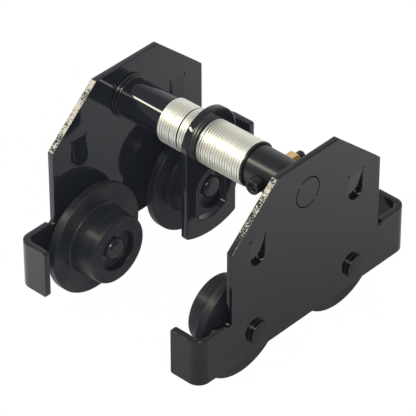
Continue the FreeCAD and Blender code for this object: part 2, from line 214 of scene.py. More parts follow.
def corner_normals(loop: Array) -> Array:
    """Outward mitre vectors of a closed outline that has its material on the left.

    Formula: the mean of the two neighbouring sides' normals, divided by its squared length, so that a
    step along it moves both sides by that step.

    Args:
        loop: Points of the outline.

    Returns:
        One vector for each point.
    """
    sides = np.roll(loop, -1, 0) - loop
    sides /= np.linalg.norm(sides, axis=1, keepdims=True)
    normals = np.stack([sides[:, 1], -sides[:, 0]], 1)
    mean = (normals + np.roll(normals, 1, 0)) / 2
    return mean / np.maximum((mean ** 2).sum(1, keepdims=True), MITRE_LIMIT)


def inside(points: Array, loop: Array) -> Array:
    """Whether each point lies inside a closed outline, by counting the sides that it is left of.

    Args:
        points: Places to try, one row each.
        loop: Points of the outline.

    Returns:
        True for each place inside.
    """
    ahead = np.roll(loop, -1, 0)
    x, y = points[:, :1], points[:, 1:]
    spans = (loop[None, :, 1] > y) != (ahead[None, :, 1] > y)
    rise = np.where(ahead[:, 1] == loop[:, 1], TINY, ahead[:, 1] - loop[:, 1])
    cross = loop[:, 0] + (y - loop[:, 1]) * (ahead[:, 0] - loop[:, 0]) / rise
    return (spans & (x < cross)).sum(1) % 2 == 1


@dataclass
class Surface:
    """One or more closed shells as whole arrays, in millimetres.

    Attributes:
        points: Places of the points.
        quads: Four point numbers for each four-sided face.
        tris: Three point numbers for each triangle.
        flat_quads: Whether each four-sided face is shaded flat.
        flat_tris: Whether each triangle is shaded flat.
        share: How far each point goes to its finish's second look, from 0 to 1, such as an edge painted pale
            as bare steel and lamp highlight, or painted shade in a recess or groove.
    """

    points: Array
    quads: Array = field(default_factory=lambda: np.zeros((0, 4), int))
    tris: Array = field(default_factory=lambda: np.zeros((0, 3), int))
    flat_quads: Array | None = None
    flat_tris: Array | None = None
    share: Array | None = None

    def __post_init__(self) -> None:
        """Fills in the shading and the share where they aren't given."""
        if self.flat_quads is None:
            self.flat_quads = np.zeros(len(self.quads), bool)
        if self.flat_tris is None:
            self.flat_tris = np.zeros(len(self.tris), bool)
        if self.share is None:
            self.share = np.zeros(len(self.points))

    @staticmethod
    def joined(parts: Sequence["Surface"]) -> "Surface":
        """One surface that holds several, their point numbers moved up.

        Args:
            parts: The surfaces to hold.

        Returns:
            The joined surface.
        """
        starts = np.cumsum([0] + [len(part.points) for part in parts[:-1]])
        return Surface(
            np.concatenate([part.points for part in parts]),
            np.concatenate([part.quads + start for part, start in zip(parts, starts)]),
            np.concatenate([part.tris + start for part, start in zip(parts, starts)]),
            np.concatenate([part.flat_quads for part in parts]),
            np.concatenate([part.flat_tris for part in parts]),
            np.concatenate([part.share for part in parts]))

    def moved(self, x: float = 0.0, y: float = 0.0, z: float = 0.0) -> "Surface":
        """The same surface at another place."""
        return replace(self, points=self.points + np.array([x, y, z]))

    def on_side(self, side: Side) -> "Surface":
        """The surface, drawn on the right, or turned half a turn about Z for the left."""
        return self if side is Side.RIGHT else replace(self, points=self.points * np.array([-1, -1, 1]))


def lattice(rows: Array, close_rows: bool = True, close_columns: bool = True) -> Surface:
    """Surface through a grid of points.

    Formula: each face joins a point to its next neighbours along the row and the column. The last row
    or column joins the first where it is closed. A row that shrinks to one point becomes a fan.

    Args:
        rows: Places, of shape (rows, columns, 3).
        close_rows: Whether the last row joins the first.
        close_columns: Whether the last column joins the first.

    Returns:
        The surface, with only the points that its faces use.
    """
    row_count, column_count = rows.shape[:2]
    number = np.arange(row_count * column_count).reshape(row_count, column_count)
    pole = np.ptp(rows, axis=1).max(1) < TINY
    number[pole] = number[pole][:, :1]
    down = np.roll(number, -1, 0) if close_rows else number[1:]
    here = number if close_rows else number[:-1]
    if close_columns:
        here_next, down_next = np.roll(here, -1, 1), np.roll(down, -1, 1)
    else:
        here, here_next = here[:, :-1], here[:, 1:]
        down, down_next = down[:, :-1], down[:, 1:]
    faces = np.stack([here, down, down_next, here_next], 2).reshape(-1, 4)
    top_fan = faces[:, 0] == faces[:, 3]
    low_fan = faces[:, 1] == faces[:, 2]
    tris = np.concatenate([faces[top_fan][:, [0, 1, 2]], faces[low_fan & ~top_fan][:, [0, 1, 3]]])
    quads = faces[~top_fan & ~low_fan]
    used = np.unique(np.concatenate([quads.ravel(), tris.ravel()]))
    renumber = np.zeros(row_count * column_count, int)
    renumber[used] = np.arange(len(used))
    return Surface(rows.reshape(-1, 3)[used], renumber[quads], renumber[tris])


def revolved(profile: Array, columns: int, closed: bool = True) -> Surface:
    """Solid turned about the X axis.

    Formula: a profile point (x, r) goes to (x, r cos t, r sin t) for evenly spaced t. The profile is
    turned round where its area is negative, so that the faces point outwards.

    Args:
        profile: Rows of x and radius, which start and end on the axis where it isn't closed.
        columns: Number of steps round the axis.
        closed: Whether the profile is a closed loop away from the axis.

    Returns:
        The closed surface.
    """
    ahead = np.roll(profile, -1, 0)
    area = (profile[:, 0] * ahead[:, 1] - ahead[:, 0] * profile[:, 1]).sum()
    path = profile if area > 0 else profile[::-1]
    turn = angles(columns)
    x = np.repeat(path[:, :1], columns, 1)
    grid = np.stack([x, path[:, 1:] * np.cos(turn), path[:, 1:] * np.sin(turn)], 2)
    return lattice(grid, close_rows=closed)


def crown(radius: float, rise: float, start: float, steps: int = 10) -> Array:
    """Profile of a shallow dome from its rim to the axis, rising towards larger places.

    Formula: at a share s of the way in, the radius is (1 - s) of the rim's and the height above the
    rim is rise times 1 - (1 - s) squared.

    Args:
        radius: Radius of the rim.
        rise: Height of the middle above the rim.
        start: Place of the rim along the axis.
        steps: Points of the dome, its rim included.

    Returns:
        Rows of place and radius, without the rim itself.
    """
    share = np.linspace(0, 1, steps)[1:]
    return np.stack([start + rise * (1 - (1 - share) ** 2), radius * (1 - share)], 1)


@dataclass
class Sheet:
    """Flat plate cut to an outline, with holes and rounded edges, that may then be bent.

    Attributes:
        outline: Outer outline, anticlockwise.
        holes: Outlines of the holes, clockwise.
        thickness: Thickness of the plate.
        edge: Radius of the rounded edges.
        extra: Points inside the outline that the bends need.
        steps: Points on each rounded edge.
    """

    outline: Array
    holes: list[Array]
    thickness: float
    edge: float
    extra: Array = field(default_factory=lambda: np.zeros((0, 2)))
    steps: int = 5

    def section(self) -> Array:
        """Profile down the edge: a quarter round, the straight, a quarter round.

        Returns:
            Rows of inset from the outline and depth.
        """
        turn = np.linspace(0, QUARTER_TURN, self.steps)
        inset = self.edge * (1 - np.sin(turn))
        depth = self.edge * (1 - np.cos(turn))
        upper = np.stack([inset, depth], 1)
        lower = np.stack([inset[::-1], self.thickness - depth[::-1]], 1)
        return np.concatenate([upper, lower])

    def surface(self, bend: Callable[[Array, Array], Array],
                bare: Callable[[Array, Array], Array] | None = None) -> Surface:
        """Closed surface of the plate after bending.

        Formula: the two flats are one triangulation of the inset outlines, used at both depths. The
        edges carry the section along each outline, inset along its mitre vectors.

        Args:
            bend: Takes flat places (n, 2) and depths (n,) and returns places in space (n, 3).
            bare: Takes edge places (n, 2) and mitre vectors (n, 2) and returns how far they are painted
                pale, as bare steel and lamp highlight.

        Returns:
            The closed surface.
        """
        loops = [self.outline] + self.holes
        mitres = [corner_normals(loop) for loop in loops]
        section = self.section()
        flats = [loop - mitre * section[0, 0] for loop, mitre in zip(loops, mitres)]
        flat, tris = self.triangulated(flats)
        count = len(flat)
        places = [flat, flat]
        depths = [np.zeros(count), np.full(count, self.thickness)]
        shares = [np.zeros(2 * count)]
        quads: list[Array] = []
        start, total = 0, 2 * count
        for loop, mitre in zip(loops, mitres):
            size = len(loop)
            middle = section[1:-1]
            rows = loop[None] - mitre[None] * middle[:, :1, None]
            places.append(rows.reshape(-1, 2))
            depths.append(np.repeat(middle[:, 1], size))
            share = np.zeros((len(middle), size))
            # Only the two rows that bound the straight stretch between the rounds can be painted pale, as
            # bare steel and lamp highlight.
            if bare is not None:
                share[self.steps - 2:-(self.steps - 2)] = bare(loop, mitre)
            shares.append(share.ravel())
            first = np.arange(start, start + size)
            between = total + np.arange(len(middle) * size).reshape(len(middle), size)
            numbers = np.concatenate([first[None], between, first[None] + count])
            ahead = np.roll(numbers, -1, 1)
            quads.append(np.stack([numbers[:-1], ahead[:-1], ahead[1:], numbers[1:]], 2).reshape(-1, 4))
            start += size
            total += len(middle) * size
        points = bend(np.concatenate(places), np.concatenate(depths))
        through = points[count:2 * count] - points[:count]
        spread = np.ptp(through[tris], axis=1).max(1)
        level = spread < TINY * self.thickness
        return Surface(
            points, np.concatenate(quads), np.concatenate([tris[:, ::-1], tris + count]),
            flat_tris=np.concatenate([level, level]), share=np.concatenate(shares))

    def triangulated(self, loops: list[Array]) -> tuple[Array, Array]:
        """Triangles that fill the outline outside its holes.

        Args:
            loops: The outer outline and then the holes.

        Returns:
            The points, the loops' own first, and the triangles that are numbered by them.
        """
        points = np.concatenate(loops + [self.extra])
        edges: list[tuple[int, int]] = []
        start = 0
        for loop in loops:
            numbers = np.arange(start, start + len(loop))
            edges += list(zip(numbers.tolist(), np.roll(numbers, -1).tolist()))
            start += len(loop)
        found = geometry.delaunay_2d_cdt([Vector(point) for point in points], edges, [], 0, TINY)
        origin = np.array([sources[0] if sources else -1 for sources in found[3]])
        tris = origin[np.array(found[2])]
        tris = tris[(tris >= 0).all(1)]
        middle = points[tris].mean(1)
        keep = inside(middle, loops[0])
        for hole in loops[1:]:
            keep &= ~inside(middle, hole)
        tris = tris[keep]
        a, b, c = points[tris[:, 0]], points[tris[:, 1]], points[tris[:, 2]]
        clockwise = (b - a)[:, 0] * (c - a)[:, 1] - (b - a)[:, 1] * (c - a)[:, 0] < 0
        tris[clockwise] = tris[clockwise][:, ::-1]
        return points, tris


# Shader nodes and finishes


class Value:
    """A number output of a node tree that can be used in Python expressions."""

    def __init__(self, nodes: "Nodes", socket: bpy.types.NodeSocket) -> None:
        """Keeps the node tree and the output.

        Args:
            nodes: Node tree that the value belongs to.
            socket: Output that carries it.
        """
        self.nodes = nodes
        self.socket = socket

    def _with(self, operation: str, first: object, second: object) -> "Value":
        """A Math node of two operands."""
        node = self.nodes.add("ShaderNodeMath", {"operation": operation}, {0: first, 1: second})
        return Value(self.nodes, node.outputs[0])

    def __add__(self, other: object) -> "Value":
        """Sum."""
        return self._with("ADD", self, other)

    __radd__ = __add__

    def __sub__(self, other: object) -> "Value":
        """Difference."""
        return self._with("SUBTRACT", self, other)

    def __rsub__(self, other: object) -> "Value":
        """Difference with this value on the right."""
        return self._with("SUBTRACT", other, self)

    def __mul__(self, other: object) -> "Value":
        """Product."""
        return self._with("MULTIPLY", self, other)

    __rmul__ = __mul__

    def least(self, other: object) -> "Value":
        """The smaller of two values."""
        return self._with("MINIMUM", self, other)

    def step(self, low: float, high: float) -> "Value":
        """Smooth step of this value.

        Args:
            low: Value that gives 0.
            high: Value that gives 1.

        Returns:
            The step as a value.
        """
        node = self.nodes.add(
            "ShaderNodeMapRange", {"interpolation_type": "SMOOTHSTEP"},
            {"Value": self, "From Min": low, "From Max": high})
        return Value(self.nodes, node.outputs[0])


class Nodes:
    """Node tree of one material or of the world."""

    def __init__(self, owner: bpy.types.ID) -> None:
        """Empties the owner's node tree and keeps it.

        Args:
            owner: Material or world that the tree belongs to.
        """
        owner.use_nodes = True
        self.tree = owner.node_tree
        self.tree.nodes.clear()

    def add(self, kind: str, settings: dict[str, object], inputs: dict[object, object]) -> bpy.types.Node:
        """One node of any kind.

        Args:
            kind: Blender's name of the node type.
            settings: Properties that are set first.
            inputs: Values or links by socket name or number.

        Returns:
            The new node.
        """
        node = self.tree.nodes.new(kind)
        for name, value in settings.items():
            setattr(node, name, value)
        for name, value in inputs.items():
            if isinstance(value, Value):
                value = value.socket
            if isinstance(value, bpy.types.NodeSocket):
                self.tree.links.new(value, node.inputs[name])
            else:
                node.inputs[name].default_value = value
        return node

    def number(self, node: bpy.types.Node, output: object = 0) -> Value:
        """A node's output as a value for expressions."""
        return Value(self, node.outputs[output])

    def attribute(self, name: str) -> Value:
        """Number carried by the mesh under a name."""
        return self.number(self.add("ShaderNodeAttribute", {"attribute_name": name}, {}), "Fac")

    def rays(self) -> tuple[Value, Value]:
        """Whether a ray comes from the camera, and whether it is a glossy one."""
        path = self.add("ShaderNodeLightPath", {}, {})
        return self.number(path, "Is Camera Ray"), self.number(path, "Is Glossy Ray")

    def coordinates(self, kind: str) -> bpy.types.NodeSocket:
        """Coordinates of a kind that Blender names, such as Object."""
        return self.add("ShaderNodeTexCoord", {}, {}).outputs[kind]

    def split(self, vector: bpy.types.NodeSocket) -> list[Value]:
        """The three numbers of a vector."""
        node = self.add("ShaderNodeSeparateXYZ", {}, {0: vector})
        return [self.number(node, axis) for axis in "XYZ"]

    def place(self, scale: Triple = (1.0, 1.0, 1.0)) -> bpy.types.NodeSocket:
        """Object coordinates in metres, stretched by a scale along each axis."""
        inputs = {"Vector": self.coordinates("Object"), "Scale": scale}
        return self.add("ShaderNodeMapping", {}, inputs).outputs[0]

    def noise(self, vector: bpy.types.NodeSocket, scale: float, detail: float = 2.0,
              roughness: float = 0.5) -> Value:
        """Cloudy noise from 0 to 1.

        Args:
            vector: Output that carries the coordinates.
            scale: Features a metre.
            detail: Finer layers that are added.
            roughness: Strength of each finer layer against the one before.

        Returns:
            The noise as a value.
        """
        return self.number(self.add("ShaderNodeTexNoise", {}, {
            "Vector": vector, "Scale": scale, "Detail": detail, "Roughness": roughness}))

    def colour_mix(self, factor: object, first: object, second: object) -> bpy.types.NodeSocket:
        """Colour between two colours.

        Args:
            factor: Share of the second colour, a number or a value.
            first: Colour or output at a share of 0.
            second: Colour or output at a share of 1.

        Returns:
            The output that carries the colour.
        """
        def padded(colour: object) -> object:
            """A plain colour with its fourth number."""
            return (*colour, 1.0) if isinstance(colour, tuple) else colour
        node = self.add("ShaderNodeMix", {"data_type": "RGBA"}, {
            MIX_SHARE: factor, MIX_FIRST: padded(first), MIX_SECOND: padded(second)})
        return node.outputs[MIX_RESULT]

    def bump(self, height: Value, strength: float, distance: float) -> bpy.types.NodeSocket:
        """Normal of a height.

        Args:
            height: The height as a value.
            strength: Strength of the whole bump.
            distance: Height of a value of 1, in metres.

        Returns:
            The output that carries the normal.
        """
        node = self.add("ShaderNodeBump", {}, {
            "Height": height, "Strength": strength, "Distance": distance})
        return node.outputs[0]

    def finish(self, kind: str, shader: bpy.types.NodeSocket) -> None:
        """Output node of the tree."""
        self.add(kind, {}, {"Surface": shader})


@dataclass(frozen=True)
class Finish(ABC):
    """Finish of a piece: plain numbers of its shader, and others that vary over its surface.

    A scale is features a metre and a bump height is metres. A range is where a smooth step rises
    from 0 to 1, and a stretch is that of the coordinates along each axis.
    """

    name: str
    colour: Colour
    roughness: float
    metallic: float = 0.0
    specular: float = 0.5
    # Emission colour: a painted glow that stands in for scattered and fill light.
    painted_glow: Colour = (0.0, 0.0, 0.0)

    def lighter(self, gain: float) -> Colour:
        """The finish's colour times a gain."""
        return tuple(channel * gain for channel in self.colour)

    def material(self) -> bpy.types.Material:
        """The material, built once and then found by its name.

        Returns:
            The material with its node tree.
        """
        found = bpy.data.materials.get(self.name)
        if found is not None:
            return found
        material = bpy.data.materials.new(self.name)
        nodes = Nodes(material)
        inputs: dict[object, object] = {
            "Base Color": (*self.colour, 1.0), "Roughness": self.roughness,
            "Metallic": self.metallic, "Specular IOR Level": self.specular,
            "Emission Color": (*self.painted_glow, 1.0), "Emission Strength": 1.0}
        inputs.update(self.varied(nodes))
        shader = nodes.add("ShaderNodeBsdfPrincipled", {}, inputs)
        nodes.finish("ShaderNodeOutputMaterial", shader.outputs[0])
        return material

    @abstractmethod
    def varied(self, nodes: Nodes) -> dict[object, object]:
        """Shader inputs that change over the surface.

        Args:
            nodes: Node tree of the material.

        Returns:
            Values or outputs by the shader's input.
        """


@dataclass(frozen=True)
class GlossPaint(Finish):
    """Sprayed black gloss paint with orange peel and dust nibs, and sheared edges painted pale: partly bare
    steel, partly a painted highlight of the lamp.
    """

    # Pale colour of the sheared edges: bare steel, and a painted highlight of the lamp.
    bare: Colour = (0.41, 0.39, 0.33)
    cloud_scale: float = 34.0
    cloud_gain: float = 1.25
    cloud_gloss: float = 0.03
    peel_scale: float = 220.0
    nib_scale: float = 900.0
    nib_range: Pair = (0.74, 0.80)
    nib_height: float = 0.5
    grain_scale: float = 620.0
    grain_stretch: Triple = (1.0, 1.0, 1.4)
    grain_roughness: float = 0.70
    grain_height: float = 4.0
    patch_scale: float = 75.0
    patch_weight: float = 0.5
    wear_and_glint_range: Pair = (0.76, 0.84)
    dull_range: Pair = (0.3, 0.6)
    dull_gloss: float = 0.65
    bump: float = 0.35
    bump_height: float = 0.00002

    def varied(self, nodes: Nodes) -> dict[object, object]:
        """Peel and nibs in the normal, clouds in the gloss, and pale grains by the mesh's share: bare steel
        and painted lamp highlight.

        Args:
            nodes: Node tree of the material.

        Returns:
            Values or outputs by the shader's input.
        """
        place = nodes.place()
        peel = nodes.noise(place, self.peel_scale)
        nibs = nodes.noise(place, self.nib_scale, detail=1.0).step(*self.nib_range)
        cloud = nodes.noise(place, self.cloud_scale, detail=3.0)
        grain = nodes.noise(
            nodes.place(self.grain_stretch), self.grain_scale, detail=4.0, roughness=self.grain_roughness)
        patch = nodes.noise(place, self.patch_scale)
        share = nodes.attribute(SHARE)
        # The pale grains stand for bare steel and also for a painted highlight of the front-left lamp on the
        # sheared shoulders.
        wear_and_glint = (share * (grain + self.patch_weight * patch)).step(*self.wear_and_glint_range)
        tint = nodes.colour_mix(cloud, self.colour, self.lighter(self.cloud_gain))
        gloss = self.cloud_gloss * (cloud - MIDDLE) + share.step(*self.dull_range) * self.dull_gloss
        height = peel + nibs * self.nib_height + wear_and_glint * grain * self.grain_height
        return {
            "Base Color": nodes.colour_mix(wear_and_glint, tint, self.bare),
            "Roughness": self.roughness + gloss,
            "Normal": nodes.bump(height, self.bump, self.bump_height)}


@dataclass(frozen=True)
class TurnedPaint(Finish):
    """Black paint over a turned casting: tool rings under a satin gloss, and a darker look by the mesh's
    share that is painted shade.
    """

    warm: Colour = (0.030, 0.026, 0.020)
    # Darker colour and glow by the mesh's share: painted shade in a wheel's recess, and the darker look of a
    # pin's riveted end.
    painted_shade: Colour = (0.0045, 0.0050, 0.0060)
    cloud_scale: float = 60.0
    peel_scale: float = 300.0
    peel_height: float = 0.5
    ring_scale: float = 36.0
    ring_stretch: Triple = (24.0, 0.6, 0.6)
    warm_range: Pair = (0.18, 0.40)
    warm_share: float = 0.5
    gloss_change: float = 0.10
    gloss_level: float = 0.9
    bump: float = 0.5
    bump_height: float = 0.00004

    def varied(self, nodes: Nodes) -> dict[object, object]:
        """Tool rings that follow X, clouds in gloss and tint, painted shade by share, and fine peel in the
        normal.

        Args:
            nodes: Node tree of the material.

        Returns:
            Values or outputs by the shader's input.
        """
        place = nodes.place()
        cloud = nodes.noise(place, self.cloud_scale, detail=3.0)
        peel = nodes.noise(place, self.peel_scale)
        rings = nodes.noise(nodes.place(self.ring_stretch), self.ring_scale)
        # The share darkens base colour and glow: a painted shade.
        shade_share = nodes.attribute(SHARE)
        warmth = (cloud * rings).step(*self.warm_range) * self.warm_share
        tint = nodes.colour_mix(warmth, self.colour, self.warm)
        return {
            "Base Color": nodes.colour_mix(shade_share, tint, self.painted_shade),
            "Emission Color": nodes.colour_mix(shade_share, self.painted_glow, self.painted_shade),
            "Roughness": self.roughness + self.gloss_change * (cloud + rings - self.gloss_level),
            "Normal": nodes.bump(peel * self.peel_height + rings, self.bump, self.bump_height)}


@dataclass(frozen=True)
class ZincPlate(Finish):
    """Zinc plating, warm and cool from piece to piece, painted darker in the grooves as painted shade, with
    fine scratches.
    """

    warm: Colour = (1.00, 0.96, 0.80)
    cool: Colour = (0.92, 0.97, 0.94)
    # Colour of the painted shade in the grooves between washers.
    groove_shade: Colour = (0.20, 0.15, 0.09)
    tint_scale: float = 300.0
    tint_stretch: Triple = (1.0, 0.02, 0.02)
    tint_range: Pair = (0.35, 0.65)
    scratch_scale: float = 420.0
    scratch_stretch: Triple = (5.0, 1.0, 1.0)
    scratch_gloss: float = 0.06
    speckle: float = 0.0
    speck_scale: float = 650.0
    speck_roughness: float = 0.65
    speck_range: Pair = (0.52, 0.66)
    speck_gloss: float = 0.5
    speck_height: float = 4.0
    bump: float = 0.2
    bump_height: float = 0.00002

    def varied(self, nodes: Nodes) -> dict[object, object]:
        """Tint that changes along X, painted shade in the grooves by share, pale specks, scratches in gloss
        and normal.

        Args:
            nodes: Node tree of the material.

        Returns:
            Values or outputs by the shader's input.
        """
        scratch = nodes.noise(nodes.place(self.scratch_stretch), self.scratch_scale, detail=3.0)
        speck = nodes.noise(nodes.place(), self.speck_scale, detail=3.0, roughness=self.speck_roughness)
        along = nodes.noise(nodes.place(self.tint_stretch), self.tint_scale, detail=1.0)
        tint = nodes.colour_mix(along.step(*self.tint_range), self.warm, self.cool)
        specked = nodes.colour_mix(speck.step(*self.speck_range) * self.speckle, tint, self.colour)
        gloss = self.scratch_gloss * (scratch - MIDDLE)
        gloss = gloss + self.speck_gloss * self.speckle * (speck - MIDDLE)
        height = scratch * (1 - self.speckle) + speck * (self.speck_height * self.speckle)
        return {
            "Base Color": nodes.colour_mix(nodes.attribute(SHARE), specked, self.groove_shade),
            "Roughness": self.roughness + gloss,
            "Normal": nodes.bump(height, self.bump, self.bump_height)}


@dataclass(frozen=True)
class Oxide(Finish):
    """Blackened steel with a slightly oily, uneven sheen."""

    cloud_scale: float = 240.0
    cloud_gain: float = 1.7
    cloud_gloss: float = 0.15
    bump: float = 0.2
    bump_height: float = 0.00003

    def varied(self, nodes: Nodes) -> dict[object, object]:
        """Clouds in the tint and the gloss, and a fine grain in the normal.

        Args:
            nodes: Node tree of the material.

        Returns:
            Values or outputs by the shader's input.
        """
        cloud = nodes.noise(nodes.place(), self.cloud_scale, detail=3.0)
        return {
            "Base Color": nodes.colour_mix(cloud, self.colour, self.lighter(self.cloud_gain)),
            "Roughness": self.roughness + self.cloud_gloss * (cloud - MIDDLE),
            "Normal": nodes.bump(cloud, self.bump, self.bump_height)}


BLACK: Colour = (0.0022, 0.0026, 0.0034)
# Emission colours of a painted glow, which stands in for light scattered off the paint and for fill light in
# shaded places: faint and strong.
FAINT_PAINTED_GLOW: Colour = (0.0016, 0.0019, 0.0024)
STRONG_PAINTED_GLOW: Colour = (0.0058, 0.0067, 0.0088)
PAINT = GlossPaint("sprayed_gloss_black", BLACK, 0.055, specular=0.44, painted_glow=FAINT_PAINTED_GLOW)
# A lighter copy of the gloss paint with the strong painted glow: painted fill light for the far plate, the
# hanger and the left pipe.
FILL_LIT_PAINT = GlossPaint("gloss_black_painted_fill", (0.0045, 0.0052, 0.0068), 0.055, specular=0.44, painted_glow=STRONG_PAINTED_GLOW)
WELD_PAINT = GlossPaint("satin_black_weld", BLACK, 0.13, specular=0.50, painted_glow=FAINT_PAINTED_GLOW)
SATIN_PAINT = GlossPaint("satin_black_pipe", (0.0062, 0.0068, 0.0084), 0.29, specular=0.43, painted_glow=FAINT_PAINTED_GLOW)
# Pins carry a stronger painted glow than the plate: painted light on the pin head in a wheel's recess.
PIN_PAINT = TurnedPaint(
    "turned_pin_black", (0.0072, 0.0083, 0.0105), 0.20, specular=0.37, painted_glow=(0.0046, 0.0054, 0.0069),
    painted_shade=FAINT_PAINTED_GLOW)
WHEEL_PAINT = TurnedPaint("painted_wheel_black", (0.0065, 0.0080, 0.0110), 0.30, specular=0.18, painted_glow=STRONG_PAINTED_GLOW)
ZINC = ZincPlate("bright_zinc_washer", (0.94, 0.93, 0.86), 0.42, 1.0)
YELLOW_ZINC = ZincPlate(
    "yellow_zinc_nut", (1.00, 0.85, 0.54), 0.36, 1.0, warm=(1.00, 0.58, 0.20), cool=(0.90, 0.66, 0.36),
    speckle=0.8)
OXIDE = Oxide("black_oxide_screw", (0.007, 0.007, 0.008), 0.26, specular=0.36, painted_glow=FAINT_PAINTED_GLOW)
# The circlip and the seals carry the strong painted glow too: painted fill light in the wheels' recesses.
SPRING = Oxide("black_spring_steel", (0.012, 0.013, 0.015), 0.20, painted_glow=STRONG_PAINTED_GLOW)
STEEL = Oxide("oiled_bearing_steel", (0.14, 0.145, 0.15), 0.30, 1.0)
RUBBER = Oxide("moulded_seal_rubber", (0.016, 0.017, 0.020), 0.24, painted_glow=STRONG_PAINTED_GLOW)


def linked(name: str, data: bpy.types.ID) -> bpy.types.Object:
    """Puts a mesh, lamp or camera into the scene.

    Args:
        name: Name of the object.
        data: What it shows.

    Returns:
        The new object.
    """
    made = bpy.data.objects.new(name, data)
    bpy.context.scene.collection.objects.link(made)
    return made


def shown(name: str, surface: Surface, body: str, finish: Finish, replaced: str) -> None:
    """Puts a surface into the scene as a piece of the part.

    Args:
        name: Name of the piece.
        surface: Its closed surface, in millimetres and in its place.
        body: Body that it moves with.
        finish: Its finish.
        replaced: CAD node that it stands for.
    """
    mesh = bpy.data.meshes.new(name)
    mesh.from_pydata(
        (surface.points * METRES).tolist(), [], surface.quads.tolist() + surface.tris.tolist())
    smooth = ~np.concatenate([surface.flat_quads, surface.flat_tris])
    mesh.polygons.foreach_set("use_smooth", smooth)
    if surface.share.any():
        layer = mesh.attributes.new(SHARE, "FLOAT", "POINT")
        layer.data.foreach_set("value", surface.share.astype(np.float32))
    mesh.materials.append(finish.material())
    mesh.validate()
    mesh.update()
    piece = linked(name, mesh)
    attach(piece, body)
    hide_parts(replaced)
    LOG.info("%s: %d points, %d faces", name, len(mesh.vertices), len(mesh.polygons))


def dressed(node: str, finish: Finish) -> None:
    """Gives a carried-over CAD node its finish.

    Args:
        node: Name of the node.
        finish: Its finish.
    """
    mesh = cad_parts[node].data
    mesh.materials.clear()
    mesh.materials.append(finish.material())
    LOG.info("%s keeps its CAD shape", node)


# Sub-assemblies


